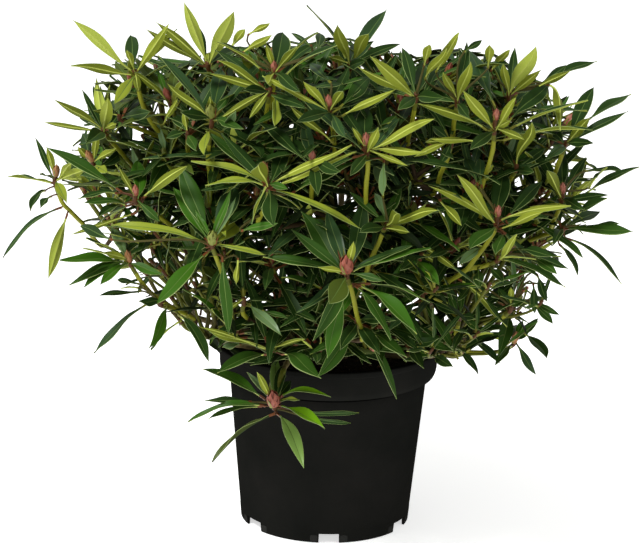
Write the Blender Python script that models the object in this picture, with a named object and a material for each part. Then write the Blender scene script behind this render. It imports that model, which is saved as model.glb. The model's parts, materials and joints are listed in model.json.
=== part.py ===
"""A potted narrow-leaved rhododendron: a plain round nursery pot filled with compost, a short
stem that forks just above the soil, the main boughs, and the masses of foliage that make up its
wide, full crown.

Metres, +Z up. The origin is the centre of the pot's foot, on the ground; the front faces -Y.
"""

import math
import random

import bmesh
import bpy
from mathutils import Matrix, Vector, noise
from mathutils.bvhtree import BVHTree

# ---- driving dimensions -------------------------------------------------------------------
GAP = 0.0003  # between pieces that touch

# nursery pot, about 5 litres
POT_H = 0.189
LIP_R = 0.117
LIP_H = 0.007
LIP_W = 0.006
BAND_R = 0.1102
BAND_H = 0.0255
WALL_TOP_R = 0.1002
FOOT_R = 0.0857
WALL_T = 0.002
FLOOR_Z = 0.0115
FLOOR_T = 0.002
RING_W = 0.0026  # flat width of the foot ring
NOTCHES = 6
NOTCH_TURN = 3.2  # degrees that the notches are turned from straight ahead
NOTCH_W = (0.0208, 0.0262)  # narrow and wide notches take turns
NOTCH_H = 0.0098
DRAIN_R = 0.006
DRAIN_PITCH_R = 0.058
POT_SEGMENTS = 48

# compost
SOIL_TOP = 0.165
SOIL_MOUND = 0.003
SOIL_SEGMENTS = 24

# short stem: radius at the soil, above the flare, and at its top
STEM_FLARE_R = 0.0215
STEM_R = 0.0175
STEM_TOP_R = 0.0115
STEM_TOP_Z = 0.242
STEM_LEAN = (0.003, -0.002)  # sideways shift of the top

# boughs
BOUGH_R = 0.0040  # radius at the stem
BOUGH_TIP_R = 0.0027
BOUGH_SIDES = 6
BOUGH_RINGS = 7

# crown: its outline as (height, radius), widest in the middle and nearly flat on top
CROWN = (
    (0.174, 0.150),
    (0.186, 0.225),
    (0.232, 0.290),
    (0.285, 0.325),
    (0.390, 0.325),
    (0.450, 0.310),
    (0.510, 0.286),
    (0.536, 0.245),
    (0.5455, 0.160),
    (0.546, 0.000),
)
HALF_WIDTH = 0.320
HALF_DEPTH = 0.290
CROWN_TOP = 0.545
DEPTH_RATIO = HALF_DEPTH / HALF_WIDTH
# bare inside of the crown, where the boughs fan out: centre height, radii
HOLLOW_Z = 0.200
HOLLOW_R = (0.150, 0.138, 0.195)
POT_CLEAR_R = 0.137  # foliage lower than POT_CLEAR_Z stays this far from the axis
POT_CLEAR_Z = 0.202
MASS_GAP = 0.007  # least gap between two neighbouring masses

# tiers of foliage masses: name, how many, centre radius, centre height, first azimuth (degrees),
# height on the stem where their boughs leave it
TIERS = (
    ("skirt", 8, 0.238, 0.264, -90.0, 0.184),
    ("shoulder", 7, 0.215, 0.418, -78.0, 0.214),
    ("crest", 3, 0.078, 0.472, -40.0, 0.234),
)
# one shoot droops over the pot's rim at the front
DROOP_AZIMUTH = -108.5
DROOP_R = 0.180
DROOP_Z = 0.168
DROOP_SIZE = (0.088, 0.046, 0.064)
DROOP_LEAVES_STEM = 0.199

BARK = (0.150, 0.105, 0.052, 1.0)
LEAF = (0.070, 0.130, 0.028, 1.0)


# ---- helpers ------------------------------------------------------------------------------
def clear_scene():
    for obj in list(bpy.data.objects):
        bpy.data.objects.remove(obj, do_unlink=True)


def material(name, color, roughness, metallic=0.0):
    mat = bpy.data.materials.new(name)
    mat.use_nodes = True
    mat.diffuse_color = color
    bsdf = mat.node_tree.nodes["Principled BSDF"]
    bsdf.inputs["Base Color"].default_value = color
    bsdf.inputs["Roughness"].default_value = roughness
    bsdf.inputs["Metallic"].default_value = metallic
    return mat


def add(name, bm, mat, smooth_deg=35.0):
    bmesh.ops.recalc_face_normals(bm, faces=bm.faces)
    if bm.calc_volume(signed=True) < 0:
        bmesh.ops.reverse_faces(bm, faces=bm.faces)
    mesh = bpy.data.meshes.new(name)
    bm.to_mesh(mesh)
    bm.free()
    mesh.shade_smooth()
    mesh.set_sharp_from_angle(angle=math.radians(smooth_deg))
    mesh.materials.append(mat)
    obj = bpy.data.objects.new(name, mesh)
    bpy.context.scene.collection.objects.link(obj)
    return obj


def lathe(profile, segments):
    """A closed solid turned from (radius, height) points that start and end on the axis."""
    bm = bmesh.new()
    points = [bm.verts.new((r, 0.0, z)) for r, z in profile]
    edges = [bm.edges.new(pair) for pair in zip(points, points[1:])]
    bmesh.ops.spin(
        bm,
        geom=points + edges,
        cent=(0, 0, 0),
        axis=(0, 0, 1),
        angle=2 * math.pi,
        steps=segments,
        use_merge=False,
    )
    bmesh.ops.remove_doubles(bm, verts=bm.verts, dist=1e-6)
    bmesh.ops.dissolve_degenerate(bm, edges=bm.edges, dist=1e-6)
    return bm


def limb(centres, radii, sides, first):
    """A tapering limb: a ring of points round each centre, joined up, with both ends capped. Its
    first ring faces along first."""
    bm = bmesh.new()
    rings = []
    side = Vector((0, 0, 1)).cross(first)
    if side.length < 1e-6:
        side = Vector((1, 0, 0))
    side.normalize()
    for n, centre in enumerate(centres):
        ahead = centres[min(n + 1, len(centres) - 1)] - centres[max(n - 1, 0)] if n else first
        ahead = ahead.normalized()
        side = (side - ahead * side.dot(ahead)).normalized()
        up = ahead.cross(side)
        rings.append(
            [
                bm.verts.new(
                    centre
                    + (side * math.cos(a) + up * math.sin(a)) * radii[n]
                )
                for a in (2 * math.pi * k / sides for k in range(sides))
            ]
        )
    for low, high in zip(rings, rings[1:]):
        for k in range(sides):
            bm.faces.new((low[k], low[(k + 1) % sides], high[(k + 1) % sides], high[k]))
    bm.faces.new(list(reversed(rings[0])))
    bm.faces.new(rings[-1])
    return bm


def along(pairs, x):
    """Linear reading of y at x from (x, y) pairs."""
    for (x0, y0), (x1, y1) in zip(pairs, pairs[1:]):
        if x <= x1:
            return y0 + (y1 - y0) * (x - x0) / (x1 - x0)
    return pairs[-1][1]


def polar(radius, azimuth_deg, z):
    a = math.radians(azimuth_deg)
    return Vector((radius * math.cos(a), radius * math.sin(a), z))


def bezier(p, t):
    s = 1 - t
    return p[0] * s**3 + p[1] * 3 * s * s * t + p[2] * 3 * s * t * t + p[3] * t**3


# ---- pot and compost ----------------------------------------------------------------------
def wall_r(z):
    """Outside radius of the pot's tapered wall."""
    return FOOT_R + (WALL_TOP_R - FOOT_R) * z / (POT_H - LIP_H - BAND_H)


def make_pot():
    step_z = POT_H - LIP_H - BAND_H
    inner_floor = FLOOR_Z + FLOOR_T
    profile = [
        (0, FLOOR_Z),
        (FOOT_R - RING_W, FLOOR_Z),
        (FOOT_R - RING_W, 0),
        (FOOT_R - 0.0006, 0),
        (wall_r(0.001), 0.001),
        (WALL_TOP_R, step_z),
        (BAND_R - 0.001, step_z + 0.0015),
        (BAND_R, step_z + 0.004),
        (BAND_R + 0.0006, POT_H - LIP_H),
        (LIP_R - 0.0012, POT_H - LIP_H + 0.0006),
        (LIP_R, POT_H - LIP_H + 0.0022),
        (LIP_R, POT_H - 0.0024),
        (LIP_R - 0.0022, POT_H),
        (LIP_R - LIP_W, POT_H),
        (BAND_R - WALL_T, POT_H - 0.004),
        (BAND_R - WALL_T, step_z + 0.004),
        (WALL_TOP_R - WALL_T, step_z),
        (wall_r(inner_floor) - WALL_T, inner_floor),
        (0, inner_floor),
    ]
    pot = add("pot", lathe(profile, POT_SEGMENTS), material("pot_plastic", (0.010, 0.010, 0.0105, 1), 0.5))

    cutter = bmesh.new()
    for n in range(NOTCHES):
        a = math.radians(-90 + NOTCH_TURN + 360 / NOTCHES * n)
        box = bmesh.ops.create_cube(cutter, size=1.0)["verts"]
        length, low = RING_W + 0.010, -0.004
        bmesh.ops.scale(cutter, vec=(length, NOTCH_W[n % 2], NOTCH_H - low), verts=box)
        bmesh.ops.translate(cutter, vec=(FOOT_R - RING_W / 2, 0, (NOTCH_H + low) / 2), verts=box)
        bmesh.ops.rotate(cutter, cent=(0, 0, 0), matrix=Matrix.Rotation(a, 3, "Z"), verts=box)
        hole = bmesh.ops.create_cone(
            cutter, cap_ends=True, segments=12, radius1=DRAIN_R, radius2=DRAIN_R, depth=0.012
        )["verts"]
        bmesh.ops.translate(
            cutter,
            vec=(DRAIN_PITCH_R * math.cos(a), DRAIN_PITCH_R * math.sin(a), FLOOR_Z + FLOOR_T / 2),
            verts=hole,
        )
    tool = add("pot_cutter", cutter, material("cutter", (1, 0, 0, 1), 0.5))
    tool.hide_render = True
    tool.display_type = "WIRE"
    cut = pot.modifiers.new("notches and drain holes", "BOOLEAN")
    cut.object = tool
    cut.operation = "DIFFERENCE"
    cut.solver = "EXACT"
    return pot


def make_soil():
    low = FLOOR_Z + FLOOR_T + GAP
    inset = WALL_T + GAP + 0.0004
    step_z = POT_H - LIP_H - BAND_H
    profile = [
        (0, low),
        (wall_r(low) - inset, low),
        (WALL_TOP_R - inset, step_z),
        (BAND_R - inset - 0.001, step_z + 0.0055),
        (BAND_R - inset - 0.001, SOIL_TOP + 0.0005),
        (0.070, SOIL_TOP - 0.001),
        (0.035, SOIL_TOP + SOIL_MOUND * 0.6),
        (0.024, SOIL_TOP + SOIL_MOUND),
        (0, SOIL_TOP + SOIL_MOUND),
    ]
    return add("soil", lathe(profile, SOIL_SEGMENTS), material("compost", (0.022, 0.015, 0.010, 1), 0.95))


# ---- stem ---------------------------------------------------------------------------------
def stem_r(z):
    low = SOIL_TOP + SOIL_MOUND + GAP
    return along(
        ((low, STEM_FLARE_R), (low + 0.010, STEM_R), (STEM_TOP_Z, STEM_TOP_R)), z
    )


def stem_centre(z):
    low = SOIL_TOP + SOIL_MOUND + GAP
    t = max(0.0, (z - low) / (STEM_TOP_Z - low))
    return Vector((STEM_LEAN[0] * t, STEM_LEAN[1] * t, z))


def make_stem():
    low = SOIL_TOP + SOIL_MOUND + GAP
    heights = [low, low + 0.004, low + 0.010, 0.195, 0.220, STEM_TOP_Z]
    centres = [stem_centre(z) for z in heights]
    return add(
        "stem",
        limb(centres, [stem_r(z) for z in heights], 14, Vector((0, 0, 1))),
        material("stem_bark", BARK, 0.8),
        60,
    )


# ---- foliage ------------------------------------------------------------------------------
def in_crown(p):
    if not CROWN[0][0] <= p.z <= CROWN[-1][0]:
        return False
    if math.hypot(p.x, p.y / DEPTH_RATIO) > along(CROWN, p.z):
        return False
    if p.z < POT_CLEAR_Z and math.hypot(p.x, p.y) < POT_CLEAR_R:
        return False
    h = Vector((p.x / HOLLOW_R[0], p.y / HOLLOW_R[1], (p.z - HOLLOW_Z) / HOLLOW_R[2]))
    return h.length > 1.0


def reach(centre, d, far=0.30, step=0.004):
    t = step
    while t < far and in_crown(centre + d * t):
        t += step
    return t - step


def mass_centres():
    rng = random.Random(7)
    found = []
    for tier, count, radius, z, first, leaves in TIERS:
        for n in range(count):
            azimuth = first + 360.0 / count * n + rng.uniform(-7, 7)
            r = radius * rng.uniform(0.94, 1.04)
            c = polar(r, azimuth, z + rng.uniform(-0.016, 0.016))
            c.y *= DEPTH_RATIO
            found.append((f"foliage_{tier}_{n + 1}", c, rng.uniform(-0.003, 0.003), azimuth, leaves))
    droop = polar(DROOP_R, DROOP_AZIMUTH, DROOP_Z)
    found.append(("foliage_droop", droop, -0.010, DROOP_AZIMUTH, DROOP_LEAVES_STEM))
    return found


def mass_shape(index, masses):
    """One uneven closed solid: a ball of points, each at the reach of the crown and of the planes
    between this mass and its neighbours, drawn in between its pointed lobes."""
    name, centre, weight = masses[index][:3]
    rng = random.Random(100 + index)
    droop = name == "foliage_droop"
    lobes = []
    for n in range(11):
        z = 1 - 2 * (n + 0.5) / 11
        a = n * 2.39996 + rng.uniform(-0.5, 0.5)
        s = math.sqrt(1 - z * z)
        lobes.append((Vector((s * math.cos(a), s * math.sin(a), z)), rng.uniform(0.75, 1.0)))
    bm = bmesh.new()
    bmesh.ops.create_icosphere(bm, subdivisions=3, radius=1.0)
    for v in bm.verts:
        d = v.co.normalized()
        if droop:
            out = polar(1, DROOP_AZIMUTH, 0)
            across = Vector((0, 0, 1)).cross(out)
            e = Vector((d.dot(across) / DROOP_SIZE[0], d.dot(out) / DROOP_SIZE[1], d.z / DROOP_SIZE[2]))
            limit = 1 / e.length
            if d.dot(out) < 0:  # stays in front of the pot
                limit = min(limit, (centre.dot(out) - LIP_R - 0.006) / -d.dot(out))
        else:
            limit = reach(centre, d)
        for other, (_, c, w, _, _) in enumerate(masses):
            if other == index:
                continue
            between = c - centre
            span = between.length
            cosine = d.dot(between) / span
            if cosine > 1e-6:
                edge = (span * span + weight - w) / (2 * span) - MASS_GAP / 2
                limit = min(limit, edge / cosine)
        tip = max(strength * math.exp(-((d.angle(lobe) / 0.42) ** 2)) for lobe, strength in lobes)
        rough = noise.noise(centre * 9 + d * 2.3)
        v.co = centre + d * limit * (0.81 + 0.19 * tip) * (1 - 0.06 * abs(rough))
    return bm


def stretch_to_extents(shapes):
    """Draws the crown's furthest tips out, or in, to its named width, depth and height."""
    for axis, sign, extent in (
        (0, 1, HALF_WIDTH), (0, -1, HALF_WIDTH),
        (1, 1, HALF_DEPTH), (1, -1, HALF_DEPTH), (2, 1, CROWN_TOP),
    ):
        best = max(v.co[axis] * sign for _, _, bm in shapes for v in bm.verts)
        for _, centre, bm in shapes:
            most = max(v.co[axis] * sign for v in bm.verts)
            if most < 0.93 * best:
                continue
            own = centre[axis] * sign
            factor = (extent * most / best - own) / (most - own)
            for v in bm.verts:
                x = v.co[axis] * sign
                if x > own:
                    v.co[axis] = sign * (own + (x - own) * factor)


def make_foliage():
    masses = mass_centres()
    shapes = [(m[0], m[1], mass_shape(n, masses)) for n, m in enumerate(masses)]
    stretch_to_extents(shapes)
    trees = {}
    for n, (name, _, bm) in enumerate(shapes):
        trees[name] = BVHTree.FromBMesh(bm)
        shade = 0.85 + 0.3 * ((n * 5) % 7) / 7
        green = (LEAF[0] * shade, LEAF[1] * shade, LEAF[2] * shade, 1)
        add(name, bm, material(f"leaves_{name[8:]}", green, 0.55), 28)
    return masses, trees


# ---- boughs -------------------------------------------------------------------------------
def bough_path(centre, azimuth, leaves):
    """From the stem's side, out level and then up, towards the middle of its mass."""
    out = polar(1, azimuth, 0)
    up = Vector((0, 0, 1))
    start = stem_centre(leaves) + out * (stem_r(leaves - BOUGH_R * 1.5) + GAP * 2)
    far = (centre - start).length
    if centre.z > 0.45:  # nearly upright, into the top of the crown
        return (start, start + out * 0.026, start + out * 0.030 + up * 0.11, centre)
    if centre.z < 0.2:  # over the pot's rim, and down
        return (start, start + out * 0.048 + up * 0.014, start + out * 0.112 + up * 0.022, centre)
    if centre.z > 0.35:  # rising through the hollow, then leaning out
        return (start, start + out * 0.12 * far, centre - (out * 0.31 + up * 0.31) * far, centre)
    return (start, start + out * 0.24 * far, centre - (out * 0.16 + up * 0.22) * far, centre)


def make_boughs(masses, trees):
    for n, (name, centre, _, azimuth, leaves) in enumerate(masses):
        path = bough_path(centre, azimuth, leaves)
        last = 1.0
        for k in range(1, 401):
            p = bezier(path, k / 400)
            if trees[name].find_nearest(p)[3] < BOUGH_TIP_R + 0.0012:
                last = k / 400
                break
        ts = [last * k / BOUGH_RINGS for k in range(BOUGH_RINGS + 1)]
        centres = [bezier(path, t) for t in ts]
        radii = [BOUGH_R + (BOUGH_TIP_R - BOUGH_R) * k / BOUGH_RINGS for k in range(BOUGH_RINGS + 1)]
        add(
            f"bough_{name[8:]}",
            limb(centres, radii, BOUGH_SIDES, polar(1, azimuth, 0)),
            material(f"bark_{name[8:]}", BARK, 0.75),
            70,
        )


def main():
    clear_scene()
    make_pot()
    make_soil()
    make_stem()
    masses, trees = make_foliage()
    make_boughs(masses, trees)


main()
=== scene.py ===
"""The looks of the potted rhododendron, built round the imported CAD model.

Every whorl of leaves sits on a shoot that grows on from the limbs: each bough of the CAD goes on
into its mass, forks at older whorls, and the forks carry this year's whorls. All of it is worked
out by seeded rules; the whorls that face the front are aimed at their places in the view.
"""

import json
import math
import random

import bpy
import numpy as np
from mathutils import Matrix, Vector

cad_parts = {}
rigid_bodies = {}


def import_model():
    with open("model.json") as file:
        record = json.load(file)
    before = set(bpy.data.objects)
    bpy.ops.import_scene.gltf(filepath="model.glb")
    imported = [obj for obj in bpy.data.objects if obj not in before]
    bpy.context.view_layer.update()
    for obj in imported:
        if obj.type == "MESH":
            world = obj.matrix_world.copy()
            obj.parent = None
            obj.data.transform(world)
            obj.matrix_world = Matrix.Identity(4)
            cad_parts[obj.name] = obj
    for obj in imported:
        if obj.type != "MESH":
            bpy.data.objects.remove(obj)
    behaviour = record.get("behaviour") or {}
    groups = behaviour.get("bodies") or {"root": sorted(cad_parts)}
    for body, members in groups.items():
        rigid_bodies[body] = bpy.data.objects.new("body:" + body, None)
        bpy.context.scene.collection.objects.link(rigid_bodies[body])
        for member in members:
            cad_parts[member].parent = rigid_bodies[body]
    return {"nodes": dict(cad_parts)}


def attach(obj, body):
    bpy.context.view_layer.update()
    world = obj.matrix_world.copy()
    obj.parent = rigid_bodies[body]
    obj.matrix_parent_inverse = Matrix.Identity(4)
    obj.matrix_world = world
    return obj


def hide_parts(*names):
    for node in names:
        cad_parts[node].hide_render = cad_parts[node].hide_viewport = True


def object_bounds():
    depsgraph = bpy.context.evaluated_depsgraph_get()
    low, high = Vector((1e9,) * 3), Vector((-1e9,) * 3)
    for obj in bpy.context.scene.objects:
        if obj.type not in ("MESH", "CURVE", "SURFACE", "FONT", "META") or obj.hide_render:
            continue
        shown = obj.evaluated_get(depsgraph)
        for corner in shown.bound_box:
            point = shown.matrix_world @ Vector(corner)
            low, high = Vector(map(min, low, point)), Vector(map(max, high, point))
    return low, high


for startup in list(bpy.data.objects):
    bpy.data.objects.remove(startup, do_unlink=True)
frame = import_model()
cad_low, cad_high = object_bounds()
scene = bpy.context.scene

# ---------------------------------------------------------------------------------------------
# sizes shared with the CAD
# ---------------------------------------------------------------------------------------------
POT_H, LIP_R, LIP_H, LIP_W = 0.189, 0.117, 0.007, 0.006
BAND_R, BAND_H = 0.1102, 0.0255
WALL_TOP_R, FOOT_R, WALL_T = 0.1002, 0.0857, 0.002
FLOOR_Z, FLOOR_T, RING_W = 0.0115, 0.002, 0.0026
NOTCHES, NOTCH_W, NOTCH_H, NOTCH_TURN = 6, (0.0208, 0.0262), 0.0098, 3.2
DRAIN_R, DRAIN_PITCH_R = 0.006, 0.058
SOIL_TOP, SOIL_MOUND = 0.165, 0.003
GAP = 0.0003
STEM_FLARE_R, STEM_R, STEM_TOP_R, STEM_TOP_Z = 0.0215, 0.0175, 0.0115, 0.242
STEM_LEAN = (0.003, -0.002)
BOUGH_R, BOUGH_TIP_R = 0.0040, 0.0027
CROWN = (
    (0.174, 0.150), (0.186, 0.225), (0.232, 0.290), (0.285, 0.325), (0.390, 0.325),
    (0.450, 0.310), (0.510, 0.286), (0.536, 0.245), (0.5455, 0.160), (0.546, 0.000),
)
HALF_WIDTH, HALF_DEPTH, CROWN_TOP = 0.320, 0.290, 0.545
DEPTH_RATIO = HALF_DEPTH / HALF_WIDTH
TIERS = (
    ("skirt", 8, 0.238, 0.264, -90.0, 0.184),
    ("shoulder", 7, 0.215, 0.418, -78.0, 0.214),
    ("crest", 3, 0.078, 0.472, -40.0, 0.234),
)
DROOP_AZIMUTH, DROOP_R, DROOP_Z, DROOP_LEAVES_STEM = -108.5, 0.180, 0.168, 0.199


def along(pairs, x):
    for (x0, y0), (x1, y1) in zip(pairs, pairs[1:]):
        if x <= x1:
            return y0 + (y1 - y0) * (x - x0) / (x1 - x0)
    return pairs[-1][1]


def polar(radius, azimuth_deg, z):
    a = math.radians(azimuth_deg)
    return Vector((radius * math.cos(a), radius * math.sin(a), z))


def bezier(p, t):
    s = 1 - t
    return p[0] * s**3 + p[1] * 3 * s * s * t + p[2] * 3 * s * t * t + p[3] * t**3


def stem_r(z):
    low = SOIL_TOP + SOIL_MOUND + GAP
    return along(((low, STEM_FLARE_R), (low + 0.010, STEM_R), (STEM_TOP_Z, STEM_TOP_R)), z)


def stem_centre(z):
    low = SOIL_TOP + SOIL_MOUND + GAP
    t = max(0.0, (z - low) / (STEM_TOP_Z - low))
    return Vector((STEM_LEAN[0] * t, STEM_LEAN[1] * t, z))


def mass_centres():
    rng = random.Random(7)
    found = []
    for tier, count, radius, z, first, leaves in TIERS:
        for n in range(count):
            azimuth = first + 360.0 / count * n + rng.uniform(-7, 7)
            r = radius * rng.uniform(0.94, 1.04)
            c = polar(r, azimuth, z + rng.uniform(-0.016, 0.016))
            c.y *= DEPTH_RATIO
            rng.uniform(-0.003, 0.003)
            found.append((f"{tier}_{n + 1}", c, azimuth, leaves))
    found.append(("droop", polar(DROOP_R, DROOP_AZIMUTH, DROOP_Z), DROOP_AZIMUTH, DROOP_LEAVES_STEM))
    return found


def bough_path(centre, azimuth, leaves):
    out = polar(1, azimuth, 0)
    up = Vector((0, 0, 1))
    start = stem_centre(leaves) + out * (stem_r(leaves - BOUGH_R * 1.5) + GAP * 2)
    far = (centre - start).length
    if centre.z > 0.45:
        return (start, start + out * 0.026, start + out * 0.030 + up * 0.11, centre)
    if centre.z < 0.2:
        return (start, start + out * 0.048 + up * 0.014, start + out * 0.112 + up * 0.022, centre)
    if centre.z > 0.35:
        return (start, start + out * 0.12 * far, centre - (out * 0.31 + up * 0.31) * far, centre)
    return (start, start + out * 0.24 * far, centre - (out * 0.16 + up * 0.22) * far, centre)


# ---------------------------------------------------------------------------------------------
# camera: about 3.5 m off, 16 degrees above the level, as the pot's rim and foot curves show
# ---------------------------------------------------------------------------------------------
FRAME_W, FRAME_H = 640.0, 543.0
FOCAL_PX = 3404.0
CAM_BACK, CAM_UP, CAM_SIDE = 3.3, 1.203, -0.0106
CAM_PITCH, CAM_ROLL = math.radians(15.96), math.radians(1.39)

cam_data = bpy.data.cameras.new("camera")
cam = bpy.data.objects.new("camera", cam_data)
scene.collection.objects.link(cam)
scene.camera = cam
cam_data.sensor_fit = "AUTO"
cam_data.sensor_width = 36.0
cam_data.lens = FOCAL_PX / FRAME_W * 36.0
cam_data.clip_start, cam_data.clip_end = 0.1, 60.0
CAM_MATRIX = Matrix.Rotation(math.pi / 2 - CAM_PITCH, 3, "X") @ Matrix.Rotation(CAM_ROLL, 3, "Z")
cam.rotation_mode = "QUATERNION"
cam.location = (CAM_SIDE, -CAM_BACK, CAM_UP)
cam.rotation_quaternion = CAM_MATRIX.to_quaternion()
CAM_AT = Vector(cam.location)


def at_depth(u, v, y):
    """The point of the view's pixel (u, v), in the 640 by 543 frame, that is at depth y."""
    d = CAM_MATRIX @ Vector(((u - FRAME_W / 2) / FOCAL_PX, -(v - FRAME_H / 2) / FOCAL_PX, -1.0))
    return CAM_AT + d * ((y - CAM_AT.y) / d.y)


def seen_at(p):
    """The pixel where a point shows."""
    q = CAM_MATRIX.transposed() @ (Vector(p) - CAM_AT)
    return FRAME_W / 2 + FOCAL_PX * q.x / -q.z, FRAME_H / 2 - FOCAL_PX * q.y / -q.z


# ---------------------------------------------------------------------------------------------
# materials
# ---------------------------------------------------------------------------------------------
def srgb(r, g, b):
    def line(c):
        c /= 255.0
        return c / 12.92 if c <= 0.04045 else ((c + 0.055) / 1.055) ** 2.4

    return (line(r), line(g), line(b), 1.0)


def plain(name, color, roughness, specular=0.5, coat=0.0, sheen=0.0):
    mat = bpy.data.materials.new(name)
    mat.use_nodes = True
    bsdf = mat.node_tree.nodes["Principled BSDF"]
    bsdf.inputs["Base Color"].default_value = color
    bsdf.inputs["Roughness"].default_value = roughness
    bsdf.inputs["Specular IOR Level"].default_value = specular
    bsdf.inputs["Coat Weight"].default_value = coat
    bsdf.inputs["Coat Roughness"].default_value = 0.3
    mat.diffuse_color = color
    return mat


def node(tree, kind, **values):
    n = tree.nodes.new(kind)
    for key, value in values.items():
        if key in n.inputs:
            n.inputs[key].default_value = value
        else:
            setattr(n, key, value)
    return n


def ramp(tree, source, stops):
    r = tree.nodes.new("ShaderNodeValToRGB")
    while len(r.color_ramp.elements) < len(stops):
        r.color_ramp.elements.new(0.5)
    for element, (place, color) in zip(r.color_ramp.elements, stops):
        element.position, element.color = place, color
    tree.links.new(source, r.inputs["Fac"])
    return r.outputs["Color"]


def pot_material():
    """Black moulded polypropylene: a fine grain and faint scuffs, with painted shade under the band and the band
    painted lighter towards its lower edge.
    """
    mat = plain("pot_plastic", srgb(30, 30, 28), 0.6, 0.0)
    t = mat.node_tree
    bsdf = t.nodes["Principled BSDF"]
    where = node(t, "ShaderNodeTexCoord").outputs["Object"]
    cloud = node(t, "ShaderNodeTexNoise", Scale=14.0, Detail=6.0, Roughness=0.6)
    t.links.new(where, cloud.inputs["Vector"])
    stretch = node(t, "ShaderNodeMapping")
    stretch.inputs["Scale"].default_value = (60.0, 60.0, 9.0)
    t.links.new(where, stretch.inputs["Vector"])
    streak = node(t, "ShaderNodeTexNoise", Scale=3.0, Detail=4.0)
    t.links.new(stretch.outputs["Vector"], streak.inputs["Vector"])
    grime = ramp(t, cloud.outputs["Fac"], [(0.3, srgb(24, 25, 23)), (0.55, srgb(29, 29, 27)), (0.8, srgb(34, 33, 31))])
    split = node(t, "ShaderNodeSeparateXYZ")
    t.links.new(where, split.inputs["Vector"])
    height = node(t, "ShaderNodeMapRange")
    for key, value in (("From Min", 0.140), ("From Max", POT_H), ("To Min", 0.0), ("To Max", 1.0)):
        height.inputs[key].default_value = value
    t.links.new(split.outputs["Z"], height.inputs["Value"])
    edge = (POT_H - LIP_H - BAND_H - 0.140) / (POT_H - 0.140)
    # painted shade and light by height: the wall darkens towards the band, a dark line of painted shadow runs along the
    # band's lower edge, and the band is painted lightest just above that line and darker towards the lip
    shade = ramp(t, height.outputs["Result"], [
        (0.0, (0.80, 0.80, 0.80, 1)), (edge - 0.07, (0.66, 0.66, 0.66, 1)), (edge - 0.055, (0.10, 0.10, 0.10, 1)),
        (edge + 0.008, (0.10, 0.10, 0.10, 1)), (edge + 0.03, (1.0, 1.0, 1.0, 1)), (1.0, (0.80, 0.80, 0.80, 1)),
    ])
    both = node(t, "ShaderNodeMix", data_type="RGBA", blend_type="MULTIPLY")
    both.inputs["Factor"].default_value = 1.0
    t.links.new(grime, both.inputs[6])
    t.links.new(shade, both.inputs[7])
    t.links.new(both.outputs[2], bsdf.inputs["Base Color"])
    rough = node(t, "ShaderNodeMapRange")
    for key, value in (("From Min", 0.3), ("From Max", 0.7), ("To Min", 0.40), ("To Max", 0.62)):
        rough.inputs[key].default_value = value
    t.links.new(streak.outputs["Fac"], rough.inputs["Value"])
    t.links.new(rough.outputs["Result"], bsdf.inputs["Roughness"])
    grain = node(t, "ShaderNodeTexNoise", Scale=900.0, Detail=2.0)
    t.links.new(where, grain.inputs["Vector"])
    bump = node(t, "ShaderNodeBump", Strength=0.12, Distance=0.0006)
    t.links.new(grain.outputs["Fac"], bump.inputs["Height"])
    t.links.new(bump.outputs["Normal"], bsdf.inputs["Normal"])
    return mat


def soil_material():
    mat = plain("compost", srgb(38, 30, 23), 0.95, 0.2)
    t = mat.node_tree
    bsdf = t.nodes["Principled BSDF"]
    where = node(t, "ShaderNodeTexCoord").outputs["Object"]
    cloud = node(t, "ShaderNodeTexNoise", Scale=160.0, Detail=8.0, Roughness=0.7)
    t.links.new(where, cloud.inputs["Vector"])
    t.links.new(
        ramp(t, cloud.outputs["Fac"], [(0.3, srgb(22, 17, 13)), (0.5, srgb(40, 31, 24)), (0.68, srgb(72, 56, 40))]),
        bsdf.inputs["Base Color"],
    )
    bump = node(t, "ShaderNodeBump", Strength=0.8, Distance=0.002)
    t.links.new(cloud.outputs["Fac"], bump.inputs["Height"])
    t.links.new(bump.outputs["Normal"], bsdf.inputs["Normal"])
    return mat


def bark_material(name, dark, middle, light, scale):
    mat = plain(name, middle, 0.72, 0.35)
    t = mat.node_tree
    bsdf = t.nodes["Principled BSDF"]
    where = node(t, "ShaderNodeTexCoord").outputs["Object"]
    cloud = node(t, "ShaderNodeTexNoise", Scale=scale, Detail=6.0, Roughness=0.65)
    t.links.new(where, cloud.inputs["Vector"])
    t.links.new(ramp(t, cloud.outputs["Fac"], [(0.3, dark), (0.5, middle), (0.72, light)]), bsdf.inputs["Base Color"])
    bump = node(t, "ShaderNodeBump", Strength=0.5, Distance=0.0008)
    t.links.new(cloud.outputs["Fac"], bump.inputs["Height"])
    t.links.new(bump.outputs["Normal"], bsdf.inputs["Normal"])
    return mat


# leaf colours are plain, and are dealt out whorl by whorl
TOPS = [
    plain("leaf_top_deep", srgb(34, 56, 20), 0.42, 0.06),
    plain("leaf_top_blue", srgb(42, 66, 34), 0.36, 0.14),
    plain("leaf_top_mid", srgb(42, 70, 20), 0.42, 0.07),
    plain("leaf_top_fresh", srgb(50, 88, 16), 0.42, 0.12),
    plain("leaf_top_olive", srgb(64, 78, 22), 0.45, 0.14),
    # pale grey-green tops: partly painted sheen on leaves that shine, partly the pale colour of young leaves
    plain("leaf_top_pale_and_painted_sheen", srgb(84, 108, 66), 0.38, 0.22),
    plain("leaf_top_yellow", srgb(124, 136, 38), 0.5, 0.15),
    # near-black tops: painted shade, dealt to the inner whorls and the small low whorls where the crown's shade falls
    plain("leaf_top_painted_shade", srgb(20, 31, 12), 0.55, 0.08),
    plain("leaf_top_bright", srgb(96, 140, 16), 0.42, 0.10),
    # light green tops of the rosette: painted shine in the base colour, beside the real gloss
    plain("leaf_top_painted_shine", srgb(110, 140, 66), 0.38, 0.22),
]
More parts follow.
